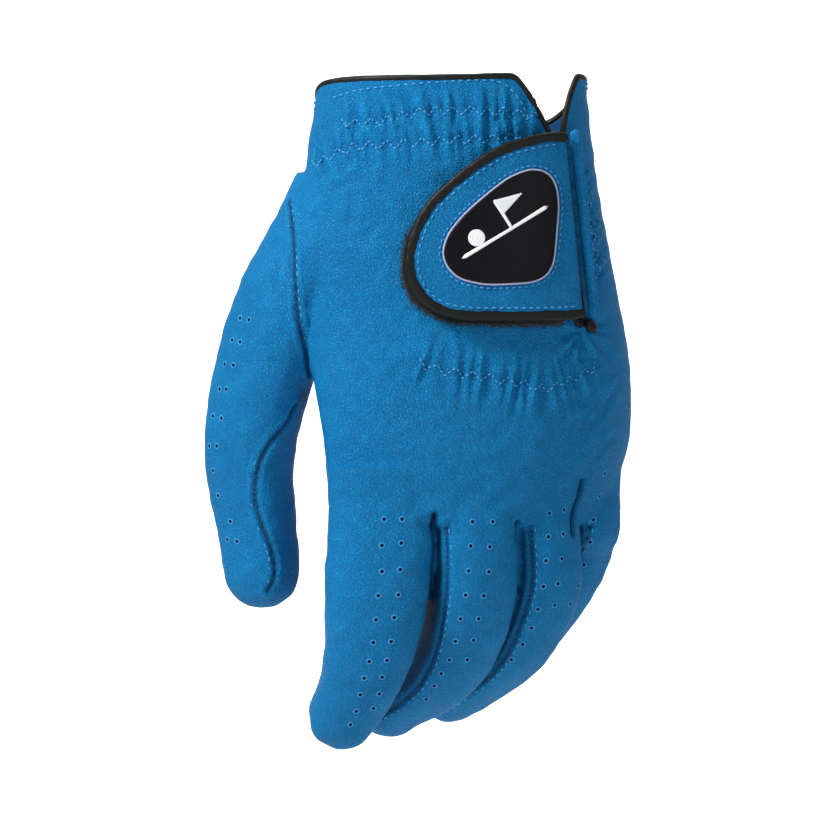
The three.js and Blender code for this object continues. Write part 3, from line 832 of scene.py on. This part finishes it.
def plate(bm, outline, centre, base, top, edge=0.5, crown=0.0, rings=12, ripple=0.0):
    # a thin plate over the back of the hand with a rounded edge
    count, turns = len(outline), 6
    total = 2 * rings + turns

    def place(u, v):
        k = np.rint(v * count).astype(int) % count
        row = u * total
        upper = np.clip(row / rings, 0, 1)
        lower = np.clip((total - row) / rings, 0, 1)
        turn = np.clip((row - rings) / turns, 0, 1) * math.pi
        share = np.where(row <= rings, upper, np.where(row >= rings + turns, lower, 1.0))
        inwards = (1 - np.sin(turn)) * edge
        out = outline[k] - centre
        size = np.linalg.norm(out, axis=1, keepdims=True)
        flat = centre + out * ((size - inwards[:, None]) / size) * share[:, None]
        middle, half = (base + top) / 2, (top - base) / 2
        face = row < rings + turns / 2
        height = middle + half * np.cos(turn) + crown * (1 - share**2) * face
        height += ripple * share * np.sin(flat[:, 0] * 0.31 + 1.3 * np.sin(flat[:, 1] * 0.16)) * face
        return backAt(flat[:, 0], flat[:, 1], height)

    gridPiece(bm, total, count, place)


def stitch(bm, at, way, up, length, radius=0.28):
    # one short run of thread that dips into the leather at both ends
    way = way / np.linalg.norm(way)
    u = np.linspace(-0.5, 0.5, 6)[:, None]
    line = at + way * u * length + up * (0.22 - 1.1 * (2 * np.abs(u)) ** 3 * radius)
    tube(bm, line, up, radius, radius * 0.8, sides=6)


def stitchRow(line, up, pitch, length, side=0.0):
    # even stitches along a line: list of (point, direction, up, length)
    line = np.asarray(line, float)
    run = runOf(line)
    at = np.arange(pitch / 2, run[-1], pitch)
    pick = lambda rows: np.stack([np.interp(at, run, rows[:, i]) for i in range(3)], -1)
    tangent = unit(pick(np.gradient(line, axis=0)))
    over = unit(pick(np.asarray(up)))
    across = np.cross(over, tangent)
    where = pick(line) + across * side
    return [(w, t, o, length) for w, t, o in zip(where, tangent, over)]


# edging, closure and badge
print("closure: edging, pads, tab and badge")
closure = {
    "tab": [(37.2, -14.4), (31, -14.6), (24.6, -16), (15.4, -19), (7.7, -23.5), (0, -29.6), (-7.8, -37.3),
            (-12.3, -46), (-14.2, -53.8), (-13.6, -61), (-10.2, -67.2), (-4.2, -71.8), (3.5, -73.7),
            (15.4, -74), (38.7, -73.4), (43.2, -72.6)],
    "pad": [(30, -20), (15, -23.5), (-5.6, -35.2), (-14, -47), (-15.8, -56), (-15.2, -62.5),
            (-11.8, -68.9), (-4.8, -73.3), (1, -75), (15.4, -75.6), (35, -75.4), (39.6, -72), (34.6, -44),
            (31, -20.5)],
    "badge": [(9.9, 18.9), (15.4, 17.9), (17.9, 14.1), (18.9, 7.7), (18.2, -1.6), (17.3, -11.5),
              (14.4, -16.3), (9, -17.9), (-4.2, -18.6), (-12.8, -17), (-17.3, -13.1), (-18.9, -7.7),
              (-16.6, -1.6), (-11.2, 4.8), (-4.2, 10.9), (2.9, 16.3)],
    "badgeCentre": (15.7, -44.6),
    "binding": {"halfWidth": 1.6, "halfHeight": 1.05, "inset": 1.45, "rise": 4.95},
    "strip": {"halfWidth": 1.75, "halfHeight": 1.5, "rise": 4.0},
    "hairs": 620,
    "stitchPitch": 2.5,
}
tabCentre = np.array([16.0, -46.0])

bm = bmesh.new()
rimUp = np.array([skinTree.find_nearest(Vector(p) * mm)[1] for p in rim])
tube(bm, rim, rimUp, 1.05, 0.95, sides=12, closed=True, lift=-0.5)
knob = np.array([(x, float(onSkin(skinTree, x, z)[0][1]) - 1.4, z)
                 for x, z in ((42.4, -72.2), (44.3, -74.6), (46.6, -78))])
tube(bm, evenly(knob, 14), np.array([0.3, -1, 0]), 1.9, 1.6, sides=14)
cuffEdging = finish(bm, "cuffEdging")
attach(cuffEdging, "hand")
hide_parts("cuff_binding", "slit_binding")

bm = bmesh.new()
plate(bm, outlineOf(closure["pad"]), tabCentre, 0.5, 2.1, edge=0.5)
loopPad = finish(bm, "loopPad")
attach(loopPad, "hand")
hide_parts("loop_pad")
bm = bmesh.new()
plate(bm, outlineOf(closure["tab"], 1.3), tabCentre, 2.4, 3.95, edge=0.4)
hookPad = finish(bm, "hookPad")
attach(hookPad, "closure_tab")
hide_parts("tab_hook_pad")

# loose pile along the edge of the pad
bm = bmesh.new()
padLine = outlineOf(closure["pad"], 0.2, 600)
run = unit(np.roll(padLine, -1, 0) - np.roll(padLine, 1, 0))
outward = -inwardOf(padLine, run, tabCentre)
free = [k for k in range(len(padLine)) if padLine[k, 0] < 36 and (padLine[k, 1] < -33 or padLine[k, 0] < -2)]
for _ in range(closure["hairs"]):
    k = random.choice(free)
    lean = random.uniform(-0.9, 0.9)
    size = random.uniform(0.5, 1.5)
    way = outward[k] + run[k] * lean
    steps = np.linspace(-0.3, 1, 5)
    low = random.uniform(0.9, 2.2)
    bow = random.uniform(-0.5, 0.5) * steps**2
    flat = padLine[k] + way * size * steps[:, None] + run[k] * bow[:, None]
    hair = backAt(flat[:, 0], flat[:, 1], low + random.uniform(-0.6, 1.0) * steps**2)
    tube(bm, hair, np.array([0, -1.0, 0.2]), 0.075, 0.075, sides=4)
padPile = finish(bm, "padPile", weld=1e-7)
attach(padPile, "hand")

bm = bmesh.new()
plate(bm, outlineOf(closure["tab"], 0.9, 260), tabCentre, 4.2, 5.45, edge=0.5, ripple=0.12, rings=20)
tabLeather = finish(bm, "tabLeather")
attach(tabLeather, "closure_tab")
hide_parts("tab_leather")

bm = bmesh.new()
edge = evenly(smoothPath(closure["tab"], 240), 240)
inward = inwardOf(edge, unit(np.gradient(edge, axis=0)), tabCentre)
b = closure["binding"]
along = np.arange(len(edge))
thickness = 1 + 0.05 * np.sin(along * 0.41) + 0.04 * np.sin(along * 0.93 + 1)
tube(bm, *overBack(edge + inward * b["inset"], b["rise"]), b["halfWidth"] * thickness,
     b["halfHeight"] * thickness, sides=16, power=2.4)
tabBinding = finish(bm, "tabBinding")
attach(tabBinding, "closure_tab")
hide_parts("tab_binding")

bm = bmesh.new()
s = closure["strip"]
top, bottom = np.array([37.4, -13.4]), np.array([44.1, -73.4])
way = unit(bottom - top)
across = np.array([-way[1], way[0]])
centreLine = top + (bottom - top) * np.linspace(0, 1, 70)[:, None] + across * 1.95
tube(bm, *overBack(centreLine, s["rise"]), s["halfWidth"], s["halfHeight"], sides=16, power=2.6)
rootStrip = finish(bm, "rootStrip")
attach(rootStrip, "hand")
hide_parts("tab_root_strip")

badgeCentre = np.array(closure["badgeCentre"])
badgeLine = outlineOf(np.array(closure["badge"]) + badgeCentre)
badgeLine = evenly(smoothPath(np.vstack([badgeLine[::6], badgeLine[:1]]), 161), 161)[:-1]
bm = bmesh.new()
plate(bm, outlineOf(badgeLine, 0.6, 160), badgeCentre, 5.2, 6.3, edge=0.35, crown=0.35, rings=14)
tabBadge = finish(bm, "tabBadge")
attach(tabBadge, "closure_tab")
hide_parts("tab_badge")
bm = bmesh.new()
rimLine = outlineOf(badgeLine, 0.3, 200)
tube(bm, *overBack(rimLine, 5.75), 0.3, 0.45, sides=8, closed=True)
badgeRim = finish(bm, "badgeRim")
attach(badgeRim, "closure_tab")
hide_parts("badge_rim")

# the badge's printed mark: a flag on its pin, a ball and the ground line
emblem = {"start": (2.2, -52.8), "end": (29.8, -35.8), "line": 0.62, "pole": 10.5, "flag": 8.4, "ball": 2.5,
          "rise": 6.62, "halfHeight": 0.14}
bm = bmesh.new()
start, end = np.array(emblem["start"]), np.array(emblem["end"])
along = unit(end - start)
upright = np.array([-along[1], along[0]])


def mark(points, half):
    flat = evenly(points, 24)
    tube(bm, *overBack(flat, emblem["rise"]), half, emblem["halfHeight"], sides=8)


foot = start + along * 18.5 - upright * 2.2
mark([start - upright * 2.2, end - upright * 2.2], emblem["line"])
mark([foot, foot + upright * emblem["pole"]], emblem["line"])
tip = foot + upright * emblem["pole"]
for share in np.linspace(0.0, 1.0, 19):
    high = tip - upright * (0.45 + 4.8 * share)
    mark([high, high + along * emblem["flag"] * (1 - abs(2 * share - 1)) + along * 0.3], 0.3)
ball = start + along * 7.5 - upright * (2.2 - emblem["ball"] - 0.6)
for size in np.linspace(0.25, 1, 4):
    ring = np.linspace(0, 2 * math.pi, 25)[:-1]
    flat = ball + np.stack([np.cos(ring), np.sin(ring)], -1) * (emblem["ball"] * size - 0.2)
    tube(bm, *overBack(flat, emblem["rise"]), 0.4, emblem["halfHeight"], sides=8, closed=True)
badgeMark = finish(bm, "badgeMark", weld=1e-7)
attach(badgeMark, "closure_tab")

# elastic bands against the inside of the leather: node, top, width, first and last angle
bands = {
    "wristElasticUpper": ("wrist_elastic_upper", -7, 6, -168, -62),
    "wristElasticLower": ("wrist_elastic_lower", -19, 6, -168, -62),
    "backElastic": ("back_elastic", -86, 6, -112, -52),
    "sideElastic": ("side_elastic", -30, 30, -38, -2),
}
bandPieces = []
for name, (node, topZ, wide, first, last) in bands.items():
    bm = bmesh.new()

    def band(u, v):
        # across the band and back along its inner face
        k = u * 2
        height = topZ - wide * np.where(k <= 1, k, 2 - k)
        under = np.where((k > 0.02) & (k < 0.98), -2.0, np.where((k > 1.02) & (k < 1.98), -2.8, -2.4))
        return handPoint(height, first + (last - first) * v, under)

    gridPiece(bm, 16, 60, band)
    piece = finish(bm, name, weld=1e-5)
    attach(piece, "hand")
    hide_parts(node)
    bandPieces.append(piece)

# stitches and air holes
print("sewing: stitches and holes")
sewing = {
    "seamPitch": 2.7, "seamLength": 1.75,
    "rowPitch": 2.5, "rowLength": 1.6,
    "hemRow": [(-37.6, -3.2), (-30, -1.2), (-15, 0.4), (0, 1.5), (9, 1.9), (14.5, 1.6), (18.4, -0.4),
               (21.6, -4), (25, -10.6)],
    "zigzag": {"amplitude": 1.5, "period": 6.6, "run": 1.35},
    "holes": {
        "index": [(-21.1, -137), (-15.4, -137), (-21.8, -145.3), (-15.7, -144.6), (-21.8, -153.6),
                  (-16, -153), (-23, -161.3), (-16.6, -161), (-23.7, -169), (-17.9, -168.3),
                  (-24.6, -176.3), (-18.9, -176), (-25.9, -182.4), (-20.2, -182.1), (-27.5, -187.8),
                  (-21.8, -187.5), (-28.8, -193.3), (-22.7, -193), (-30.1, -198.7), (-24.6, -197.8),
                  (-32, -203.2)],
        "middle": [(7, -137.9), (13.4, -137.9), (6.4, -145.6), (12.5, -145.9), (5.8, -153.6),
                   (12.2, -153.9), (4.8, -161.3), (10.6, -161.6), (3.2, -169), (9, -169), (1.6, -176.3),
                   (7.4, -176), (-0.3, -182.4), (5.4, -182.4), (-2.9, -186.9), (-5.1, -191),
                   (-7.7, -195.5)],
        "ring": [(31.7, -135.4), (36.5, -134.4), (31.4, -143), (36.2, -142.1), (30.7, -150.7),
                 (35.8, -150.1), (29.8, -159), (34.6, -158.1), (28.2, -166.4), (33.6, -165.1),
                 (26.2, -172.5), (23.4, -177.9), (19.8, -183)],
        "little": [(49.9, -122.9), (48.3, -130.2), (46.4, -137.9), (45.4, -145), (43.5, -152.6),
                   (41.3, -159), (38.7, -164.8)],
        "thumb": [(-67.2, -73), (-64.3, -73.6), (-69.8, -80), (-67.2, -80.6), (-72.3, -87.7),
                  (-69.4, -88), (-73.9, -95.7), (-71.7, -95.7), (-76.2, -104.3), (-73.3, -105),
                  (-77.4, -113.9), (-74.9, -113.9), (-76.2, -121.9), (-74.6, -129.9), (-70.7, -138.2),
                  (-71.7, -144), (-68.5, -144.6)],
    },
    "holeRadius": 0.68,
}
allPoints, allFaces = [], []
for piece in skinPieces.values():
    base = len(allPoints)
    allPoints += [v.co for v in piece.data.vertices]
    allFaces += [[base + i for i in face.vertices] for face in piece.data.polygons]
laidAll = BVHTree.FromPolygons(allPoints, allFaces)


def evenUps(ups, times):
    for _ in range(times):
        ups[1:-1] = unit(ups[:-2] + 2 * ups[1:-1] + ups[2:])
    return ups


def settle(line):
    # a line and its outward directions, laid onto the folded leather
    out, ups = [], []
    for p in line:
        near = laidAll.find_nearest(Vector(p) * mm)
        out.append(np.array(near[0]) / mm)
        ups.append(np.array(near[1]))
    return np.array(out), evenUps(np.array(ups), 3)


runs = []
for name, line in seamLines.items():
    line, ups = settle(line)
    side = {"thumbSeam": 0.9, "thumbInnerSeam": -1.5}.get(name, 1.5)
    runs += stitchRow(line, ups, sewing["seamPitch"], sewing["seamLength"], side=side)


def zigzag(line, ups):
    z = sewing["zigzag"]
    run = runOf(line)
    tangent = unit(np.gradient(line, axis=0))
    across = np.cross(ups, tangent)
    wave = 2 * np.abs(2 * ((run / z["period"]) % 1) - 1) - 1
    return line + across * (wave * z["amplitude"])[:, None]


for name, points in gathers["rows"].items():
    line, ups = lineOnSkin(laidAll, points, step=0.4)
    ups = evenUps(ups, 4)
    line, _ = settle(zigzag(line, ups))
    runs += stitchRow(line, ups, sewing["zigzag"]["run"] * 1.3, sewing["zigzag"]["run"])
aroundHem = np.linspace(-30, 195, 150)
for line, ups in (lineOnSkin(laidAll, sewing["hemRow"], step=0.8),
                  settle([handPoint(hemHeight(angle) - 3, angle) for angle in aroundHem])):
    runs += stitchRow(line, ups, sewing["rowPitch"], sewing["rowLength"])

stationLabels = labels(np.array([r[0] for r in runs]))
threads = []
for index, name in enumerate(order):
    mine = [r for r, k in zip(runs, stationLabels) if k == index]
    if not mine:
        continue
    bm = bmesh.new()
    for made in mine:
        stitch(bm, *made)
    piece = finish(bm, name + "Thread", weld=1e-7)
    follow(piece, index)
    threads.append(piece)

# rows on the tab: inside its binding and round the badge
bm = bmesh.new()
inner = edge[6:-4] + inward[6:-4] * 3.9
for made in stitchRow(*overBack(inner, 5.42), closure["stitchPitch"], sewing["rowLength"]):
    stitch(bm, *made, radius=0.26)
ring = outlineOf(badgeLine, -0.9, 220)
for made in stitchRow(*overBack(np.vstack([ring, ring[:1]]), 5.45), 2.1, 1.35):
    stitch(bm, *made, radius=0.24)
tabThread = finish(bm, "tabThread", weld=1e-7)
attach(tabThread, "closure_tab")
threads.append(tabThread)

holePlaces = []
for name, places in sewing["holes"].items():
    for x, z in places:
        at, up = onSkin(laidAll, x, z)
        holePlaces.append((at, up))
holeLabels = labels(np.array([h[0] for h in holePlaces]))
holePieces, holeRims = [], []
for index, name in enumerate(order):
    mine = [h for h, k in zip(holePlaces, holeLabels) if k == index]
    if not mine:
        continue
    dark, light = bmesh.new(), bmesh.new()
    for at, up in mine:
        r = sewing["holeRadius"]
        side = unit(np.cross(up, [0.3, 0.2, 1.0]))
        turn = np.linspace(0, 2 * math.pi, 15)[:-1]
        other = np.cross(up, side)
        ring = at + (np.cos(turn)[:, None] * side + np.sin(turn)[:, None] * other) * (r + 0.12) + up * 0.02
        tube(light, ring, up, 0.24, 0.15, sides=6, closed=True)

        # painted shade: a dark disc laid on the leather stands for the shaded inside of the air hole
        def disc(u, v):
            a = v * 2 * math.pi
            flat = (np.cos(a) * u * r)[:, None] * side + (np.sin(a) * u * r)[:, None] * other
            return at + flat + up * (0.09 - 0.03 * (1 - u)[:, None])

        gridPiece(dark, 2, 14, disc)
    for bm, suffix, keep in ((dark, "Holes", holePieces), (light, "HoleRims", holeRims)):
        piece = finish(bm, name + suffix, weld=1e-7)
        follow(piece, index)
        keep.append(piece)

for name, piece in skinPieces.items():
    follow(piece, order.index(name))
    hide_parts(*pieceNodes[name])


# materials
class Value:
    # a shader socket that can be added, multiplied and so on
    def __init__(self, graph, socket):
        self.graph, self.socket = graph, socket

    def join(self, kind, other, swap=False):
        node = self.graph.tree.nodes.new("ShaderNodeMath")
        node.operation = kind
        first, second = (other, self) if swap else (self, other)
        for slot, item in ((0, first), (1, second)):
            if isinstance(item, Value):
                self.graph.tree.links.new(item.socket, node.inputs[slot])
            else:
                node.inputs[slot].default_value = item
        return Value(self.graph, node.outputs[0])

    def __add__(self, other):
        return self.join("ADD", other)

    def __radd__(self, other):
        return self.join("ADD", other, True)

    def __sub__(self, other):
        return self.join("SUBTRACT", other)

    def __rsub__(self, other):
        return self.join("SUBTRACT", other, True)

    def __mul__(self, other):
        return self.join("MULTIPLY", other)

    def __rmul__(self, other):
        return self.join("MULTIPLY", other, True)

    def clamped(self):
        return self.join("MAXIMUM", 0.0).join("MINIMUM", 1.0)


class Graph:
    def __init__(self, name, **constants):
        self.material = bpy.data.materials.get(name) or bpy.data.materials.new(name)
        self.material.use_nodes = True
        self.tree = self.material.node_tree
        self.shader = self.tree.nodes["Principled BSDF"]
        for key, value in constants.items():
            self.shader.inputs[key].default_value = value
        self.place = self.node("ShaderNodeTexCoord").outputs["Object"]

    def node(self, kind, settings=None, **sockets):
        made = self.tree.nodes.new(kind)
        for key, value in (settings or {}).items():
            setattr(made, key, value)
        for key, value in sockets.items():
            value = value.socket if isinstance(value, Value) else value
            if isinstance(value, bpy.types.NodeSocket):
                self.tree.links.new(value, made.inputs[key])
            else:
                made.inputs[key].default_value = value
        return made

    def noise(self, size, detail=2.0, roughness=0.5, stretch=(1, 1, 1)):
        spread = self.node("ShaderNodeMapping", None, Vector=self.place, Scale=stretch)
        made = self.node("ShaderNodeTexNoise", None, Vector=spread.outputs[0], Scale=1 / (size * mm),
                         Detail=detail, Roughness=roughness)
        return Value(self, made.outputs["Fac"])

    def cells(self, size):
        # how far each place is from the edge of its cell
        wander = self.node("ShaderNodeTexNoise", None, Vector=self.place, Scale=1 / (size * mm) * 0.6,
                           Detail=2.0)
        moved = self.node("ShaderNodeVectorMath", {"operation": "MULTIPLY_ADD"})
        self.tree.links.new(wander.outputs["Color"], moved.inputs[0])
        moved.inputs[1].default_value = (size * mm,) * 3
        self.tree.links.new(self.place, moved.inputs[2])
        made = self.node("ShaderNodeTexVoronoi", {"feature": "DISTANCE_TO_EDGE"}, Vector=moved.outputs[0],
                         Scale=1 / (size * mm))
        return Value(self, made.outputs["Distance"])

    def attribute(self, name):
        return Value(self, self.node("ShaderNodeAttribute", {"attribute_name": name}).outputs["Fac"])

    def blend(self, share, low, high):
        made = self.node("ShaderNodeMix", {"data_type": "RGBA"})
        self.tree.links.new(share.socket, made.inputs["Factor"])
        for slot, item in ((6, low), (7, high)):
            if isinstance(item, Value):
                self.tree.links.new(item.socket, made.inputs[slot])
            else:
                made.inputs[slot].default_value = (*item, 1)
        return Value(self, made.outputs[2])

    def set(self, name, value):
        self.tree.links.new(value.socket, self.shader.inputs[name])

    def bump(self, height, distance, strength=1.0):
        made = self.node("ShaderNodeBump", None, Height=height, Distance=distance * mm, Strength=strength)
        self.tree.links.new(made.outputs["Normal"], self.shader.inputs["Normal"])


finishes = {
    "leather": {"deep": (0.0003, 0.115, 0.31), "mid": (0.0006, 0.2, 0.49), "light": (0.002, 0.31, 0.68),
                # darkest blue: the joins along the seams, and painted shade in the finger slots and gaps
                "seam": (0.0003, 0.012, 0.045), "rough": 0.52, "grain": 1.0},
    "suede": {"colour": (0.003, 0.05, 0.16), "light": (0.01, 0.09, 0.24)},
    "edging": {"colour": (0.0025, 0.003, 0.0035), "light": (0.007, 0.0075, 0.008)},
    "pile": {"colour": (0.003, 0.0035, 0.004), "light": (0.012, 0.0125, 0.0135)},
    "badge": {"colour": (0.0018, 0.002, 0.003), "light": (0.0035, 0.004, 0.0055)},
    "rim": {"colour": (0.42, 0.42, 0.62)},
    "mark": {"colour": (0.86, 0.87, 0.9)},
    "thread": {"colour": (0.02, 0.24, 0.56), "light": (0.07, 0.36, 0.72)},
    # painted shade: the near-black blue of the discs that stand for the air holes' shaded insides
    "hole": {"colour": (0.0015, 0.012, 0.04)},
    "holeRim": {"colour": (0.03, 0.28, 0.6)},
    "elastic": {"colour": (0.004, 0.05, 0.16), "light": (0.02, 0.11, 0.28)},
}
print("materials")

f = finishes["leather"]
g = Graph("leather", **{"Specular IOR Level": 0.16})
large = g.noise(26, 3, 0.55)
patchy = g.noise(5, 3, 0.6)
fine = g.noise(0.5, 2, 0.6)
grain = g.cells(0.95)
pebble = (grain * 5).clamped()
dots = g.noise(0.75, 1, 0.4)
# dark joins along the seams plus painted shade in the finger slots and narrow gaps
seam = g.attribute("seam")
worn = g.attribute("ridge")
shade = ((large - 0.5) * 1.0 + (patchy - 0.5) * 0.7 + 0.5).clamped()
colour = g.blend(shade, f["deep"], f["mid"])
colour = g.blend((worn * 0.5 + (fine - 0.5) * 0.3 + (dots - 0.4) * 0.5 + 0.1).clamped(), colour, f["light"])
colour = g.blend(((1 - pebble) * 0.6).clamped(), colour, f["deep"])
colour = g.blend((seam * 0.92).clamped(), colour, f["seam"])
g.set("Base Color", colour)
g.set("Roughness", (f["rough"] + (patchy - 0.5) * 0.22 + (1 - pebble) * 0.12 - worn * 0.06).clamped())
creaseNoise = g.noise(3.2, 3, 0.6, (1, 1, 0.6))
g.bump(pebble * 0.5 + fine * 0.45 + creaseNoise * 1.3 + patchy * 1.2, 0.4, f["grain"])
leather = g.material

f = finishes["suede"]
g = Graph("suede", **{"Roughness": 0.95, "Specular IOR Level": 0.1, "Sheen Weight": 0.4})
nap = g.noise(0.45, 3, 0.7)
g.set("Base Color", g.blend((g.noise(4) * 0.6 + nap * 0.4).clamped(), f["colour"], f["light"]))
g.bump(nap, 0.25)
suede = g.material


def simple(name, key, size, distance, stretch=(1, 1, 1), **constants):
    f = finishes[key]
    g = Graph(name, **constants)
    texture = g.noise(size, 3, 0.6, stretch)
    broad = g.noise(size * 7, 2)
    shade = (texture * 0.6 + broad * 0.6 - 0.1).clamped()
    g.set("Base Color", g.blend(shade, f["colour"], f.get("light", f["colour"])))
    base = constants.get("Roughness", 0.5)
    g.set("Roughness", (base + (texture - 0.5) * 0.25 + (broad - 0.5) * 0.15).clamped())
    g.bump(texture + broad * 0.6, distance)
    return g.material


edging = simple("edging", "edging", 0.5, 0.14, Roughness=0.42, **{"Specular IOR Level": 0.25})
pile = simple("pile", "pile", 0.35, 0.5, Roughness=0.95, **{"Specular IOR Level": 0.12, "Sheen Weight": 0.25})
badgeFace = simple("badge", "badge", 0.4, 0.02, Roughness=0.4, **{"Specular IOR Level": 0.15})
rimFinish = simple("badgeRim", "rim", 0.6, 0.03, Roughness=0.45)
markFinish = simple("badgeMark", "mark", 0.6, 0.03, Roughness=0.4)
thread = simple("thread", "thread", 0.35, 0.12, Roughness=0.5)
# painted shade for the air holes
holeShade = simple("hole", "hole", 0.4, 0.05, Roughness=0.95, **{"Specular IOR Level": 0.05})
holeRim = simple("holeRim", "holeRim", 0.3, 0.08, Roughness=0.5)
elasticWeb = simple("elastic", "elastic", 0.6, 0.4, (0.25, 0.25, 3.0), Roughness=0.85)


def wear(piece, *materials):
    piece.data.materials.clear()
    for material in materials:
        piece.data.materials.append(material)


for piece in skinPieces.values():
    kept = readAll(piece.data.polygons, "material_index", np.int32)
    wear(piece, leather, suede)
    piece.data.polygons.foreach_set("material_index", kept)
for pieces, material in [
        ([cuffEdging, tabBinding], edging), ([loopPad, hookPad, padPile], pile),
        ([tabLeather, rootStrip], leather), ([tabBadge], badgeFace), ([badgeRim], rimFinish),
        ([badgeMark], markFinish), (bandPieces, elasticWeb), (threads, thread), (holePieces, holeShade),
        (holeRims, holeRim)]:
    for piece in pieces:
        wear(piece, material)

# camera, light, floor and an upright backdrop behind the glove
view = {"lens": 250, "sensor": 36, "centre": (-12.6, -102.7), "mmPerFrame": 263, "floor": -0.62,
        "backdrop": 3}
camera = linked("camera", bpy.data.cameras.new("camera"))
bpy.context.scene.camera = camera
camera.data.lens = view["lens"]
camera.data.sensor_width = view["sensor"]
reach = view["mmPerFrame"] * mm * view["lens"] / view["sensor"]
camera.location = (view["centre"][0] * mm, -reach + 10 * mm, view["centre"][1] * mm)
camera.rotation_euler = (math.pi / 2, 0, 0)
camera.data.clip_start, camera.data.clip_end = 0.05, 30

floor = linked("floor", bpy.data.meshes.new("floor"))
bm = bmesh.new()
bmesh.ops.create_grid(bm, x_segments=2, y_segments=2, size=4)
bmesh.ops.translate(bm, verts=bm.verts, vec=(0, 0, view["floor"]))
wallPanel = bmesh.ops.create_grid(bm, x_segments=2, y_segments=2, size=4)["verts"]
bmesh.ops.rotate(bm, verts=wallPanel, cent=(0, 0, 0), matrix=Matrix.Rotation(math.pi / 2, 3, "X"))
bmesh.ops.translate(bm, verts=wallPanel, vec=(0, view["backdrop"], 0))
bm.to_mesh(floor.data)
bm.free()
plain = Graph("floorPlain", **{"Base Color": (0.93, 0.93, 0.93, 1), "Roughness": 0.9,
                               "Specular IOR Level": 0.1})
floor.data.materials.append(plain.material)

lamps = {
    "key": dict(place=(-0.85, -0.7, 0.7), size=0.35, power=21, colour=(1, 0.99, 0.97), aim=(0, 0, -0.1)),
    "fill": dict(place=(0.9, -1.0, 0.1), size=1.2, power=2.5, colour=(0.95, 0.98, 1), aim=(0, 0, -0.1)),
    "top": dict(place=(-0.1, 0.15, 0.95), size=0.6, power=4, colour=(1, 1, 1), aim=(0, 0, -0.1)),
    "behind": dict(place=(0.5, 1.1, 0.6), size=1.0, power=3, colour=(1, 1, 1), aim=(0, 0, -0.1)),
    "backdrop": dict(place=(0, 2.2, 0.0), size=1.8, power=22, colour=(1, 1, 1), aim=(0, 3, -0.1)),
}
for name, lamp in lamps.items():
    data = bpy.data.lights.new(name, "AREA")
    data.shape = "DISK"
    data.size, data.energy, data.color = lamp["size"], lamp["power"], lamp["colour"]
    light = linked(name, data)
    light.location = lamp["place"]
    aim = Vector(lamp["aim"]) - Vector(lamp["place"])
    light.rotation_euler = aim.to_track_quat("-Z", "Y").to_euler()

world = bpy.data.worlds.new("studio")
bpy.context.scene.world = world
world.use_nodes = True
sky = world.node_tree.nodes["Background"].inputs
sky["Color"].default_value = (1, 1, 1, 1)
sky["Strength"].default_value = 0.33
bpy.context.scene.view_settings.view_transform = "Standard"
